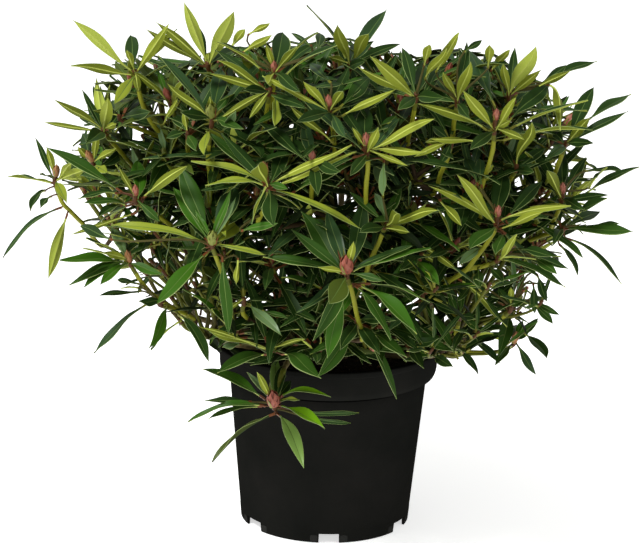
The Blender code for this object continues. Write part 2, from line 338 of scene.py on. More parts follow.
UNDERS = [
    plain("leaf_under_olive", srgb(98, 108, 28), 0.6, 0.10),
    plain("leaf_under_yellow", srgb(126, 136, 42), 0.6, 0.08),
    plain("leaf_under_pale", srgb(158, 171, 70), 0.6, 0.08),
    # dull undersides: painted shade on the inner whorls, and a dull tone dealt at random elsewhere
    plain("leaf_under_dull_and_painted_shade", srgb(50, 60, 18), 0.65, 0.06),
]
MIDRIB_TOP = plain("midrib_top", srgb(80, 102, 46), 0.5, 0.15)
MIDRIB_UNDER = plain("midrib_under", srgb(172, 182, 84), 0.55, 0.15)
RIM = plain("leaf_margin", srgb(128, 144, 84), 0.5, 0.15)
# dark midrib and margin: painted shade with the near-black tops, and the dark midrib of dull undersides
MIDRIB_DARK_AND_PAINTED_SHADE = plain("midrib_dark_and_painted_shade", srgb(38, 50, 22), 0.6, 0.08)
PETIOLES = [
    plain("petiole_green", srgb(114, 114, 36), 0.5, 0.2),
    plain("petiole_red", srgb(102, 58, 26), 0.5, 0.2),
]
LEAF_SLOTS = TOPS + UNDERS + [MIDRIB_TOP, MIDRIB_UNDER, RIM, MIDRIB_DARK_AND_PAINTED_SHADE] + PETIOLES
I_UNDER = len(TOPS)
I_MID_TOP = I_UNDER + len(UNDERS)
I_MID_UNDER, I_RIM, I_DARK_AND_PAINTED_SHADE, I_PETIOLE = I_MID_TOP + 1, I_MID_TOP + 2, I_MID_TOP + 3, I_MID_TOP + 4

SHOOT_SLOTS = [
    plain("shoot_green", srgb(88, 92, 28), 0.55, 0.15),
    plain("shoot_olive", srgb(66, 62, 24), 0.6, 0.15),
    plain("shoot_red", srgb(76, 46, 20), 0.55, 0.2),
    plain("shoot_brown", srgb(60, 46, 27), 0.7, 0.2),
    plain("shoot_yellow", srgb(128, 130, 30), 0.5, 0.2),
]
BUD_SLOTS = [
    plain("bud_pink", srgb(164, 100, 80), 0.42, 0.35),
    plain("bud_rose", srgb(140, 74, 56), 0.45, 0.35),
    plain("bud_green", srgb(118, 124, 52), 0.5, 0.3),
    plain("bud_tan", srgb(158, 112, 72), 0.55, 0.25),
]


# ---------------------------------------------------------------------------------------------
# mesh making
# ---------------------------------------------------------------------------------------------
def mesh_object(name, points, quads, materials, slots=None, tris=None):
    """A mesh object from numpy arrays of points and quads, and perhaps triangles."""
    points = np.ascontiguousarray(points, np.float32)
    quads = np.ascontiguousarray(quads, np.int32).reshape(-1, 4)
    tris = np.zeros((0, 3), np.int32) if tris is None else np.ascontiguousarray(tris, np.int32).reshape(-1, 3)
    mesh = bpy.data.meshes.new(name)
    mesh.vertices.add(len(points))
    mesh.vertices.foreach_set("co", points.ravel())
    mesh.loops.add(quads.size + tris.size)
    mesh.loops.foreach_set("vertex_index", np.concatenate([quads.ravel(), tris.ravel()]))
    mesh.polygons.add(len(quads) + len(tris))
    starts = np.concatenate([np.arange(len(quads)) * 4, quads.size + np.arange(len(tris)) * 3])
    mesh.polygons.foreach_set("loop_start", starts.astype(np.int32))
    for mat in materials:
        mesh.materials.append(mat)
    if slots is not None:
        mesh.polygons.foreach_set("material_index", np.ascontiguousarray(slots, np.int32))
    mesh.update(calc_edges=True)
    mesh.validate()
    mesh.shade_smooth()
    obj = bpy.data.objects.new(name, mesh)
    scene.collection.objects.link(obj)
    return obj


def unit(v):
    return v / np.maximum(np.linalg.norm(v, axis=-1, keepdims=True), 1e-9)


FINE_ROWS = np.array([0.0, 0.04, 0.08, 0.13, 0.19, 0.26, 0.33, 0.41, 0.49, 0.57, 0.65, 0.73, 0.80, 0.87, 0.92, 0.96, 0.985, 1.0])
FULL_ROWS = np.array([0.0, 0.045, 0.10, 0.17, 0.26, 0.37, 0.49, 0.61, 0.73, 0.84, 0.92, 0.97, 1.0])
LITE_ROWS = np.array([0.0, 0.08, 0.2, 0.38, 0.6, 0.8, 0.93, 1.0])


def outline(u, widest):
    """Half-width of a leaf along its length, as a share of its widest: a stalk, then a narrow
    blade that is widest past the middle and ends in a point."""
    w = np.clip((u - 0.09) / 0.91, 0, 1)
    skew = np.log(0.5) / np.log(np.clip((widest - 0.09) / 0.91, 0.2, 0.9))
    turn = w**skew
    body = np.sin(np.pi * turn) ** np.where(turn < 0.5, 1.22, 1.0)
    body *= 1 - 0.25 * np.clip((u - 0.9) / 0.1, 0, 1)
    return np.maximum(body, 0)


def leaf_sheets(leaves, level):
    """Points, quads and material slots of many leaves at once, at level 0 with the most faces, 1
    or 2 with the fewest. Each leaf is a dict:
    base, tip: its ends; face: the way its upper side looks; arch: how high it bows between its
    ends; width: its widest, all in metres; fold, roll, twist, wave: how it is shaped across;
    top, under, petiole: its colours."""
    n = len(leaves)
    lite = level == 2
    ROWS = (FINE_ROWS, FULL_ROWS, LITE_ROWS)[level]
    top_s = np.array([
        [-1.0, -0.93, -0.52, -0.1, 0.1, 0.52, 0.93, 1.0], [-1.0, -0.52, -0.1, 0.1, 0.52, 1.0], [-1.0, -0.1, 0.1, 1.0],
    ][level])
    beside = (3, 2, 1)[level]  # the column on one side of the midrib
    under_s = np.array([-1.0, 0.0, 1.0] if lite else [-1.0, -0.52, -0.12, 0.0, 0.12, 0.52, 1.0])
    col = lambda key: np.array([leaf[key] for leaf in leaves], float)
    base, tip, face = col("base"), col("tip"), unit(col("face"))
    arch, width, widest = col("arch"), col("width"), col("widest")
    fold, roll, twist = col("fold"), col("roll"), col("twist")
    wave, phase, sway, thin = col("wave"), col("phase"), col("sway"), col("thin")
    chord = tip - base
    length = np.linalg.norm(chord, axis=1)
    ahead = chord / length[:, None]
    face = unit(face - ahead * (face * ahead).sum(1, keepdims=True))
    side = np.cross(ahead, face)
    u = ROWS[None, :]  # (1, R)
    # the spine bows towards its upper face, most at about the middle, and sways a little sideways
    bow = arch[:, None] * 4 * (u * (1 - u)) * (1 + 0.5 * (0.5 - u))
    bend = sway[:, None] * np.sin(np.pi * 2 * u) * length[:, None]
    spine = (
        base[:, None, :]
        + chord[:, None, :] * u[..., None]
        + face[:, None, :] * bow[..., None]
        + side[:, None, :] * bend[..., None]
    )
    tangent = np.gradient(spine, ROWS, axis=1)
    tangent = unit(tangent)
    up = unit(face[:, None, :] - tangent * (face[:, None, :] * tangent).sum(2, keepdims=True))
    across = np.cross(tangent, up)
    turn = twist[:, None] * (u - 0.25)
    up, across = (
        up * np.cos(turn)[..., None] + across * np.sin(turn)[..., None],
        across * np.cos(turn)[..., None] - up * np.sin(turn)[..., None],
    )
    half = np.stack([outline(ROWS, w) for w in widest]) * (width / 2)[:, None]
    stalk = 0.0009 + 0.0003 * np.clip(1 - ROWS / 0.1, 0, 1)
    half = np.maximum(half, np.where(ROWS < 0.5, stalk, 0.00015)[None, :])
    half[:, -1] = 0.00012
    blade = np.clip((ROWS - 0.08) / 0.12, 0, 1)[None, :]

    def sheet(s, lift):
        s = s[None, None, :]
        w = half[..., None]
        rise = (fold[:, None, None] * np.abs(s) - roll[:, None, None] * np.abs(s) ** 3) * w
        ripple = (
            wave[:, None, None]
            * np.sin(2 * np.pi * (u[..., None] * 1.7 + phase[:, None, None]) + np.sign(s) * 0.9)
            * np.abs(s) ** 1.6
            * 0.0012
        )
        out = (rise + ripple * blade[..., None]) + lift
        # margins that bend keep their width along the curve of the leaf
        narrow = 1 - 0.10 * np.abs(s) * np.abs(fold[:, None, None])
        return (
            spine[:, :, None, :]
            + across[:, :, None, :] * (s * w * narrow)[..., None]
            + up[:, :, None, :] * out[..., None]
        )

    # the midrib keeps its own width, so its columns are set in metres
    rib = np.where(half > 1e-6, np.minimum(0.00045 * (1.25 - ROWS)[None, :] / half, 0.6), 0.3)
    top = sheet(top_s, 0.0)
    for k, sign in ((beside, -1), (beside + 1, 1)):
        place = sheet(np.array([0.0]), 0.0)[:, :, 0]
        top[:, :, k] = place + across * (sign * rib * half)[..., None] - up * 0.00008
    thick = (0.00042 * thin)[:, None, None]
    under = sheet(under_s, 0.0) - up[:, :, None, :] * thick[..., None]
    middle = 1 if lite else 3
    for k, sign in () if lite else ((2, -1), (4, 1)):
        under[:, :, k] = under[:, :, 3] + across * (sign * (rib + 0.05) * half)[..., None]
    ridge = 0.0005 + 0.0011 * np.clip(1 - ROWS / 0.55, 0, 1)
    under[:, :, middle] -= up * ridge[None, :, None]

    rows = len(ROWS)
    pieces, quads, slots = [], [], []
    at = 0

    def add(block, flip, kinds):
        """block: (leaves, rows, columns, 3). kinds: (leaves, columns - 1) slots."""
        nonlocal at
        m = block.shape[2]
        index = at + np.arange(n * rows * m).reshape(n, rows, m)
        a, b = index[:, :-1, :-1], index[:, :-1, 1:]
        c, d = index[:, 1:, 1:], index[:, 1:, :-1]
        q = np.stack([a, d, c, b] if flip else [a, b, c, d], -1)
        pieces.append(block.reshape(-1, 3))
        quads.append(q.reshape(-1, 4))
        k = np.repeat(kinds[:, None, :], rows - 1, 1).copy()
        k[:, :2, :] = petiole[:, None, None]
        slots.append(k.reshape(-1))
        at += block.size // 3

    petiole = (I_PETIOLE + col("petiole")).astype(int)
    tone, below = col("top").astype(int), (I_UNDER + col("under")).astype(int)
    # painted shade carried on: leaves with near-black tops get a dark midrib on both sides and a dark margin, and dull
    # undersides a dark midrib
    inside = (tone == 7) | (below == I_UNDER + 3)
    mid_t = np.where(tone == 7, I_DARK_AND_PAINTED_SHADE, I_MID_TOP)
    mid_u = np.where(inside, I_DARK_AND_PAINTED_SHADE, I_MID_UNDER)
    rim = np.where(tone == 7, I_DARK_AND_PAINTED_SHADE, I_RIM)
    # the margin that hangs lower curls over and shows as a light line
    lower = side[:, 2] < 0
    rim_a, rim_b = np.where(lower, tone, rim), np.where(lower, rim, tone)
    if lite:
        add(top, False, np.stack([tone, mid_t, tone], 1))
        add(under, True, np.stack([below, below], 1))
    else:
        add(top, False, np.stack([rim_a, tone, tone, mid_t, tone, tone, rim_b] if level == 0 else [tone, tone, mid_t, tone, tone], 1))
        add(under, True, np.stack([below, below, mid_u, mid_u, below, below], 1))
    for s in (0, -1):
        band = np.stack([top[:, :, s], under[:, :, s]], 2)
        add(band, s == 0, rim[:, None])
    return np.concatenate(pieces), np.concatenate(quads), np.concatenate(slots)


def tube(path, radii, sides=7, slot=0, slots=None, lump=0.0, seed=0):
    """Points, quads and slots of a tapering tube, closed at both ends by a small cone."""
    path = np.array([tuple(p) for p in path], float)
    radii = np.array(radii, float)
    m = len(path)
    tangent = unit(np.gradient(path, axis=0))
    side = np.cross(tangent[0], (0.31, 0.17, 0.93))
    side = unit(side if np.linalg.norm(side) > 1e-6 else np.array((1.0, 0, 0)))
    rings = []
    angles = 2 * np.pi * np.arange(sides) / sides
    rng = np.random.default_rng(seed)
    for k in range(m):
        side = unit(side - tangent[k] * (side @ tangent[k]))
        up = np.cross(tangent[k], side)
        r = radii[k] * (1 + lump * rng.uniform(-1, 1, sides))
        rings.append(path[k] + (side * np.cos(angles)[:, None] + up * np.sin(angles)[:, None]) * r[:, None])
    ends = [path[0] - tangent[0] * radii[0] * 0.4, path[-1] + tangent[-1] * radii[-1] * 0.6]
    points = np.concatenate(rings + [np.array(ends)])
    index = np.arange(m * sides).reshape(m, sides)
    a, b = index[:-1], np.roll(index[:-1], -1, 1)
    c, d = np.roll(index[1:], -1, 1), index[1:]
    quads = np.stack([a, b, c, d], -1).reshape(-1, 4)
    first, last = m * sides, m * sides + 1
    tris = [(first, (k + 1) % sides, k) for k in range(sides)]
    tris += [(last, (m - 1) * sides + k, (m - 1) * sides + (k + 1) % sides) for k in range(sides)]
    kinds = np.repeat(np.array(slots if slots is not None else [slot] * (m - 1)), sides)
    return points, quads, kinds, np.array(tris), np.array([kinds[0]] * sides + [kinds[-1]] * sides)


class Heap:
    """Parts of one joined mesh."""

    def __init__(self):
        self.points, self.quads, self.tris, self.kinds, self.tri_kinds, self.at = [], [], [], [], [], 0

    def add(self, points, quads, kinds, tris=None, tri_kinds=None):
        self.points.append(points)
        self.quads.append(np.asarray(quads).reshape(-1, 4) + self.at)
        self.kinds.append(np.asarray(kinds))
        if tris is not None and len(tris):
            self.tris.append(np.asarray(tris).reshape(-1, 3) + self.at)
            self.tri_kinds.append(np.asarray(tri_kinds))
        self.at += len(points)

    def build(self, name, materials):
        tris = np.concatenate(self.tris) if self.tris else np.zeros((0, 3), int)
        tri_kinds = np.concatenate(self.tri_kinds) if self.tri_kinds else np.zeros(0, int)
        return mesh_object(
            name,
            np.concatenate(self.points),
            np.concatenate(self.quads),
            materials,
            np.concatenate(self.kinds + [tri_kinds]),
            tris,
        )


# ---------------------------------------------------------------------------------------------
# where the whorls are
# ---------------------------------------------------------------------------------------------
INSET = 0.056  # whorls sit this far inside the crown's outline, and their leaves reach it
UP = Vector((0, 0, 1))


def crown_inside(p, inset):
    """Above 0 inside the crown's outline drawn in by inset, in metres and roughly."""
    top = CROWN_TOP - inset * 0.62
    if p.z > top:
        return top - p.z
    r = along(CROWN, min(max(p.z, 0.19), 0.53)) - inset
    return min(r - math.hypot(p.x, p.y / DEPTH_RATIO), top - p.z)


def on_front(u, v, inset=INSET):
    """The crown's surface point that a pixel shows, or the nearest one if it shows none."""
    best, best_gap = None, -9
    for k in range(61):
        p = at_depth(u, v, -0.27 + 0.40 * k / 60)
        gap = crown_inside(p, inset)
        if gap >= 0:
            return p
        if gap > best_gap:
            best, best_gap = p, gap
    return best


# The whorls that face the front, each with the place of its node and its bud in the view, how far
# it lies behind the crown's surface, its bud, its leaves, and places that its shoot passes.
# A leaf is the place of its tip, its width, and a code: t, u, m or e for its upper side, its
# underside, half of each or its edge to the view; its colour; and n or f where its tip is nearer
# or further than usual. After these may come its base and how far it bows up.
HEROES = [
    # upper left
    (136, 75, 133, 66, 0, "", [
        (73, 20, 15, "up"), (71, 66, 12, "uo"), (131, 35, 16, "tDf"), (127, 49, 8, "uy"), (169, 24, 13, "uy"),
        (177, 29, 10, "uy"), (139, 91, 9, "uon"), (114, 104, 13, "tY"), (178, 98, 7, "uy", (164, 124)),
    ], [(142, 103, 0), (154, 126, 0.01), (172, 143, 0.03), (188, 156, 0.05)]),
    (104, 133, 103, 118, 0, "", [
        (108, 97, 15, "uy"), (96, 78, 13, "upf"), (55, 100, 11, "uo"), (45, 122, 7, "uo"), (86, 143, 17, "tDn"),
        (117, 124, 7, "uy"), (131, 102, 14, "tDf"), (82, 90, 8, "tDf"),
    ], [(119, 150, 0.02), (140, 172, 0.05)]),
    (121, 120, 115, 106, 0.02, "", [
        (92, 110, 6, "uo"), (140, 99, 12, "tDf"), (150, 112, 13, "tD"), (113, 100, 10, "tD"),
    ], [(137, 128, 0.005), (156, 136, 0.02), (186, 156, 0.05)]),
    (95, 167, 86, 150, 0.01, "t", [
        (98, 132, 9, "uy"), (78, 147, 9, "uy"), (116, 148, 9, "uy"), (107, 173, 10, "tY"), (130, 150, 12, "tD"),
        (122, 163, 12, "tDf"),
    ], [(110, 185, 0.02), (132, 202, 0.05)]),
    (55, 183, 57, 164, 0, "t", [
        (35, 137, 7, "tDf"), (47, 147, 9, "uy"), (72, 163, 10, "uy"), (84, 170, 12, "uy"), (90, 180, 7, "uo"),
        (67, 203, 11, "tY"), (30, 211, 10, "tD", (46, 190), 4), (40, 208, 9, "tD", (52, 196), 2),
        (3, 258, 7, "tB", (62, 207), 9), (48, 279, 17, "up", (67, 214), 0), (8, 176, 4, "eB"), (40, 174, 4, "eD"),
    ], [(62, 202, 0), (69, 210, 0.004), (82, 223, 0.015), (106, 246, 0.05)]),
    (136, 203, 135, 184, 0, "p", [
        (139, 160, 17, "tFf"), (170, 150, 17, "tMf", (145, 197)), (187, 166, 14, "uo", (143, 198), 3), (119, 167, 7, "uo"),
        (46, 147, 16, "tM", (122, 192), 2), (78, 199, 8, "tD", (118, 193), 3), (84, 203, 10, "tM", (128, 206), 4),
        (98, 217, 11, "tD", (122, 205), 2), (70, 235, 6, "uo", (136, 213)), (160, 222, 9, "tM"),
    ], [(147, 208, 0.004), (176, 229, 0.03), (205, 246, 0.07)]),
    (212, 246, 213, 230, -0.01, "g", [
        (246, 215, 17, "tY"), (238, 178, 20, "tBf"), (231, 188, 8, "tF"), (236, 197, 7, "tL"), (173, 187, 14, "tFf"),
        (195, 210, 6, "tF"), (180, 165, 20, "tMf"), (111, 225, 13, "tY", None, 6), (157, 303, 20, "tF", (207, 252), 1),
        (266, 255, 6, "tY"), (229, 335, 15, "tM", (222, 256), 0), (236, 285, 7, "uy", (238, 258)),
        (80, 226, 12, "tD", (113, 240)),
    ], [(218, 262, 0.004), (223, 276, 0.014), (230, 305, 0.05), (234, 328, 0.08)]),
    (130, 264, 127, 252, 0, "t", [
        (111, 226, 13, "tLf"), (151, 234, 12, "tM"), (60, 260, 15, "tF", (125, 263), 3), (104, 252, 9, "uy"),
        (69, 285, 14, "tM", None, 5), (84, 287, 12, "tF", None, 4), (100, 285, 11, "tF", None, 3), (163, 274, 10, "tF"),
        (83, 248, 4, "eD"), (97, 244, 4, "eD"), (86, 238, 4, "eD"),
    ], [(140, 280, 0), (149, 291, 0.004), (162, 302, 0.015), (175, 309, 0.03), (192, 318, 0.07)]),
    (160, 305, 165, 296, 0.01, "", [
        (117, 280, 7, "tD", (139, 284)), (98, 296, 6, "tD", (142, 291)), (94, 353, 11, "tB", (147, 304), 3),
        (149, 348, 15, "tF", (168, 305), -2), (151, 350, 3, "eD", (181, 320)), (209, 361, 16, "tD", (178, 314), 4),
        (138, 301, 10, "tD"), (121, 288, 5, "eD", (139, 287)),
    ], [(175, 310, 0.02), (194, 319, 0.06)]),
    (188, 136, 185, 118, 0.02, "", [
        (184, 111, 8, "uy"), (175, 114, 12, "tDf"), (200, 116, 11, "tDf"), (166, 138, 9, "tD"), (196, 150, 12, "tM"),
    ], [(190, 155, 0.02)]),
    # top, left of the middle
    (212, 122, 210, 103, 0, "g", [
        (221, 66, 17, "tBf"), (266, 92, 9, "uo"), (230, 95, 8, "tM"), (236, 111, 10, "tL", (222, 132), 0),
        (204, 155, 13, "tY", (209, 131), 2), (158, 55, 12, "tB", None, 3), (167, 83, 10, "uo"), (210, 96, 8, "uo"),
        (180, 112, 11, "tD"), (243, 128, 11, "tM"),
    ], [(208, 160, 0.03), (214, 190, 0.06)]),
    (208, 67, 209, 55, 0, "", [
        (184, 2, 14, "up"), (234, 11, 19, "up"), (156, 22, 12, "uo", None, 3), (146, 29, 10, "uo"), (195, 21, 8, "tDf"),
        (209, 52, 8, "uy"), (222, 46, 12, "tDf"), (190, 60, 12, "tDf"), (236, 50, 13, "tDf"),
    ], [(212, 85, 0.02), (214, 110, 0.05)]),
    (274, 75, 274, 60, 0, "p", [
        (283, 32, 20, "tDf"), (289, 38, 14, "uof"), (266, 44, 8, "uy"), (297, 46, 10, "uo"), (337, 45, 13, "mY", (283, 77)),
        (318, 32, 9, "mD", (291, 54)), (291, 33, 6, "tD", (312, 46)), (320, 33, 11, "tDf", (317, 54)),
        (272, 35, 9, "uy", (242, 53)), (270, 23, 8, "uy", (248, 35)), (245, 29, 10, "uy", (230, 48)),
        (217, 42, 11, "mD", (263, 70)), (267, 84, 12, "uyn"), (300, 92, 12, "tD"),
    ], [(273, 92, 0.01), (270, 120, 0.04)]),
    (269, 93, 272, 84, 0.005, "", [
        (275, 126, 13, "tY", (276, 94), 0), (249, 119, 8, "uo"), (210, 74, 9, "uo"), (218, 60, 10, "uo"), (243, 90, 10, "tD"),
        (306, 108, 11, "tD"),
    ], [(267, 110, 0.02), (262, 135, 0.05)]),
    (330, 114, 328, 94, -0.005, "p", [
        (303, 81, 10, "uy"), (343, 91, 11, "uo"), (371, 76, 16, "tM", (340, 107)), (396, 89, 9, "uy", (342, 116), 1),
        (346, 138, 10, "tB"), (343, 83, 9, "tB", (313, 88), 1), (309, 64, 11, "tB", (331, 83)), (262, 76, 9, "uy", None, 1),
        (290, 106, 9, "uo", (333, 143)), (296, 122, 12, "tD"), (320, 84, 12, "tDf"),
    ], [(333, 130, 0.01), (336, 160, 0.05)]),
    (350, 68, 346, 52, 0, "", [
        (337, 24, 14, "uy"), (307, 5, 9, "mD"), (387, 9, 16, "tBf", None, 2), (369, 33, 15, "uy"), (374, 41, 8, "tDf"),
        (400, 44, 11, "tD", None, 3), (343, 60, 8, "tD"), (328, 56, 9, "uo"), (356, 44, 14, "tDf"), (366, 60, 12, "tD"),
    ], [(346, 84, 0.01), (343, 110, 0.05)]),
    (416, 99, 417, 90, 0, "", [
        (370, 56, 15, "uy", None, 2), (357, 67, 11, "uo", None, 1), (402, 47, 13, "tD"), (429, 44, 10, "uy", (424, 66)),
        (404, 84, 11, "tD"), (441, 70, 12, "tDf"), (445, 98, 13, "tD"), (424, 62, 13, "tDf"), (398, 110, 12, "tM"),
    ], [(413, 118, 0.02), (408, 145, 0.05)]),
    (367, 154, 366, 132, -0.005, "r", [
        (364, 105, 18, "tDf"), (352, 127, 6, "uy"), (379, 127, 10, "uy"), (435, 119, 12, "uy", None, 2), (400, 118, 10, "tB"),
        (427, 152, 10, "uy", None, 2), (408, 166, 6, "uy"), (300, 96, 15, "tB", None, 1), (383, 196, 11, "tL", (384, 160), 0),
        (350, 176, 11, "tD"),
    ], [(368, 166, 0), (366, 190, 0.01), (366, 225, 0.04)]),
    (312, 165, 312, 149, 0.005, "p", [
        (305, 121, 13, "tBf"), (257, 121, 16, "tD", None, 3), (331, 138, 12, "tDf"), (287, 143, 16, "tDf"), (340, 172, 12, "tD"),
        (318, 196, 13, "tD"),
    ], [(312, 185, 0.02), (314, 210, 0.05)]),
    # middle left
    (268, 188, 263, 161, -0.01, "t", [
        (258, 164, 19, "uon"), (352, 145, 11, "uy", None, 2), (356, 152, 9, "uy", None, 1), (191, 161, 9, "tY", None, 5),
        (205, 185, 9, "tY", None, 6), (288, 189, 8, "tF"), (356, 162, 15, "tM", (290, 194), 2), (362, 229, 9, "tY", None, 4),
        (274, 226, 17, "tDn"), (251, 224, 4, "eM"), (206, 131, 16, "tM", None, 1), (289, 143, 16, "tDf"), (278, 223, 9, "tF", (241, 231)),
    ], [(267, 204, 0.006), (262, 228, 0.04)]),
    (244, 303, 243, 292, 0.03, "", [
        (282, 336, 11, "tL", (249, 304)), (230, 290, 10, "tM"), (262, 285, 11, "tD"), (288, 318, 6, "tM", (262, 311)), (226, 312, 8, "uo"),
    ], [(247, 318, 0.01)]),
    # the middle of the front
    (347, 277, 346, 255, -0.016, "R", [
        (354, 241, 9, "uy"), (365, 198, 19, "tDf"), (327, 209, 15, "tBf"), (301, 211, 20, "tMf"), (291, 229, 12, "tM"),
        (263, 257, 15, "tM", None, 3), (318, 267, 8, "uy"), (412, 245, 12, "tD", None, 2), (431, 248, 14, "tF", None, 4),
        (385, 281, 8, "tM"), (417, 334, 19, "tF", (356, 284), 5), (391, 340, 15, "tM", (355, 285), 4), (329, 304, 22, "tOn"),
        (313, 341, 17, "tM", None, -2), (328, 358, 19, "tF", (343, 284), 0), (430, 303, 4, "eF", (365, 283)),
    ], [(352, 292, 0), (357, 316, 0.012), (362, 340, 0.05)]),
    (385, 227, 392, 212, 0.01, "", [
        (350, 192, 9, "tM"), (399, 213, 14, "uon"), (374, 192, 9, "tLf"), (440, 211, 13, "uo", None, 2), (381, 158, 16, "tL", (383, 198)),
        (401, 185, 10, "tM"), (410, 232, 10, "uo"), (360, 232, 12, "tD"),
    ], [(380, 240, 0.004), (374, 253, 0.008), (369, 264, 0.012), (362, 287, 0.03)]),
    (357, 322, 358, 314, 0.02, "", [
        (397, 399, 13, "tM", None, 4), (318, 377, 17, "tM", (352, 328), -3), (407, 357, 14, "tM", (368, 333), 3),
        (380, 355, 14, "tD"), (340, 350, 14, "tD"), (395, 320, 12, "tD"),
    ], [(360, 340, 0.03)]),
    (408, 346, 411, 352, 0.02, "", [
        (424, 368, 12, "tD"), (431, 355, 9, "tM"), (380, 351, 11, "tM"), (395, 330, 11, "tD"), (440, 338, 10, "tD"), (419, 330, 9, "tM"),
    ], [(398, 338, 0.03)]),
    # right
    (494, 132, 497, 108, -0.005, "p", [
        (465, 46, 21, "tBf", (495, 106), 2), (463, 90, 13, "uy"), (516, 98, 10, "uy"), (511, 121, 9, "uy"), (549, 83, 16, "tD", (508, 122)),
        (588, 100, 10, "mY", (510, 128), 2), (593, 129, 11, "mD", (503, 140), 4), (418, 104, 13, "uo", (486, 130), 4),
        (430, 139, 8, "uy", (482, 143), 2), (525, 140, 9, "uo"), (470, 150, 13, "tD"),
    ], [(493, 148, 0), (488, 168, 0.004), (481, 190, 0.012), (474, 225, 0.05)]),
    (457, 104, 457, 92, 0.005, "", [
        (471, 61, 13, "uy"), (443, 72, 9, "uy"), (459, 33, 12, "uy", (436, 72)), (447, 48, 11, "uy", (425, 79)), (467, 41, 11, "tDf"),
        (482, 40, 7, "tD", (464, 52)), (490, 45, 11, "uy", (488, 68)), (428, 92, 12, "tD"), (470, 118, 11, "tD"),
    ], [(454, 122, 0.01), (448, 150, 0.04)]),
    (509, 97, 510, 84, 0.02, "", [
        (510, 50, 10, "uy", (491, 71)), (503, 63, 10, "uy"), (536, 46, 18, "up"), (541, 70, 10, "uy"), (531, 85, 8, "tD"),
        (515, 47, 10, "tDf"), (497, 60, 12, "tDf"), (597, 61, 12, "tD", (541, 84), 3), (571, 70, 9, "uo", (536, 88)),
        (566, 65, 9, "tDf", (540, 85)), (560, 131, 15, "uo", (546, 85), 8),
    ], [(506, 120, 0.02), (500, 150, 0.05)]),
    (451, 146, 453, 136, 0.02, "", [
        (414, 157, 8, "uy", None, 3), (432, 126, 9, "tD"), (470, 128, 10, "tD"), (440, 165, 9, "tD"), (425, 142, 8, "uo"),
    ], [(447, 160, 0), (441, 173, 0.004), (432, 195, 0.03)]),
    (565, 146, 569, 137, 0, "", [
        (594, 87, 17, "tDf"), (631, 94, 15, "tM", (586, 122), 2), (628, 111, 11, "tD", None, 2), (590, 117, 12, "uo"),
        (594, 143, 10, "tD"), (582, 130, 11, "tD"), (550, 128, 13, "tD"), (545, 160, 11, "tM"),
    ], [(560, 160, 0), (555, 173, 0.006), (543, 200, 0.04)]),
    (562, 200, 563, 182, 0, "p", [
        (586, 157, 11, "tD"), (564, 154, 15, "tDf"), (623, 170, 8, "tD", (585, 171), 1), (607, 167, 6, "mD", (588, 188)),
        (639, 167, 11, "tD", (582, 196), 3), (609, 195, 9, "tD"), (607, 198, 14, "tD", (573, 218), 2), (571, 205, 7, "uy", (519, 212), 4),
        (547, 170, 13, "uo"), (585, 210, 11, "tD"), (538, 178, 11, "tD"),
    ], [(556, 216, 0.01), (540, 236, 0.05)]),
    (516, 170, 518, 158, 0.02, "", [
        (532, 122, 14, "uo"), (546, 148, 11, "tD"), (534, 172, 10, "tD"), (500, 145, 10, "tD"),
    ], [(510, 180, 0.01), (500, 200, 0.04)]),
    (496, 226, 499, 205, -0.005, "p", [
        (502, 167, 20, "tDf"), (456, 174, 15, "uy", None, 2), (428, 186, 10, "uy", None, 6), (543, 181, 14, "tD", (507, 217)),
        (571, 206, 10, "uy", None, 5), (543, 212, 10, "uy", (499, 229)), (470, 249, 17, "tM"), (496, 255, 13, "tM", (503, 234)),
        (466, 156, 12, "tBf", (478, 186)), (479, 158, 10, "tBf", (482, 188)), (462, 226, 11, "uo", (440, 200)), (475, 200, 11, "tM"),
    ], [(493, 234, 0), (485, 246, 0.004), (475, 259, 0.008), (466, 270, 0.012), (452, 279, 0.02), (438, 284, 0.035)]),
    (497, 261, 501, 252, 0.006, "", [
        (517, 234, 13, "uy", None, -2), (536, 259, 4, "eM"), (555, 257, 10, "tD", (518, 249)), (569, 269, 8, "tD", (531, 255)),
        (557, 274, 10, "tM", (535, 258)), (566, 287, 11, "tM", None, 5), (458, 266, 10, "tL", (480, 247)), (457, 271, 9, "uo", (419, 246), 4),
        (480, 287, 12, "tD", (478, 268)), (503, 282, 10, "tD", (490, 266)), (505, 236, 10, "tDf"),
    ], [(484, 266, 0.003), (466, 270, 0.008), (452, 279, 0.02), (438, 284, 0.035)]),
    (562, 231, 565, 224, 0, "", [
        (633, 231, 16, "tM", None, 1), (619, 223, 7, "tD", (592, 227)), (583, 257, 12, "tM", (533, 224), 4), (622, 284, 10, "tD", (566, 238), 6),
        (578, 275, 9, "tD", (559, 244), 3), (600, 212, 13, "tD"), (540, 217, 15, "tD"), (553, 245, 10, "tD"),
    ], [(548, 234, 0.01), (520, 240, 0.05)]),
    (510, 311, 512, 300, 0, "", [
        (509, 283, 10, "tM"), (511, 287, 7, "uy"), (548, 297, 10, "tM", (517, 309), 2), (547, 302, 9, "tD", (537, 274)),
        (560, 315, 7, "tM", (536, 303)), (553, 324, 9, "tM", (532, 301)), (535, 314, 9, "tD", (533, 283)), (498, 288, 9, "tM"),
        (525, 300, 9, "tM"), (501, 322, 9, "uo", (458, 279), 4),
    ], [(500, 318, 0.01), (478, 326, 0.05)]),
    (513, 345, 515, 338, 0.02, "t", [
        (538, 319, 10, "tM"), (523, 320, 7, "tF"), (547, 358, 15, "tM", (524, 332), 2), (536, 375, 9, "tB"), (500, 363, 10, "tB", (467, 335), 2),
        (495, 365, 10, "tM"), (478, 374, 9, "tD", (454, 347), 3), (530, 330, 8, "tM"), (484, 334, 8, "uy"),
    ], [(506, 349, 0.004), (495, 352, 0.01), (470, 352, 0.03), (448, 349, 0.05)]),
    (459, 320, 459, 310, 0.02, "", [
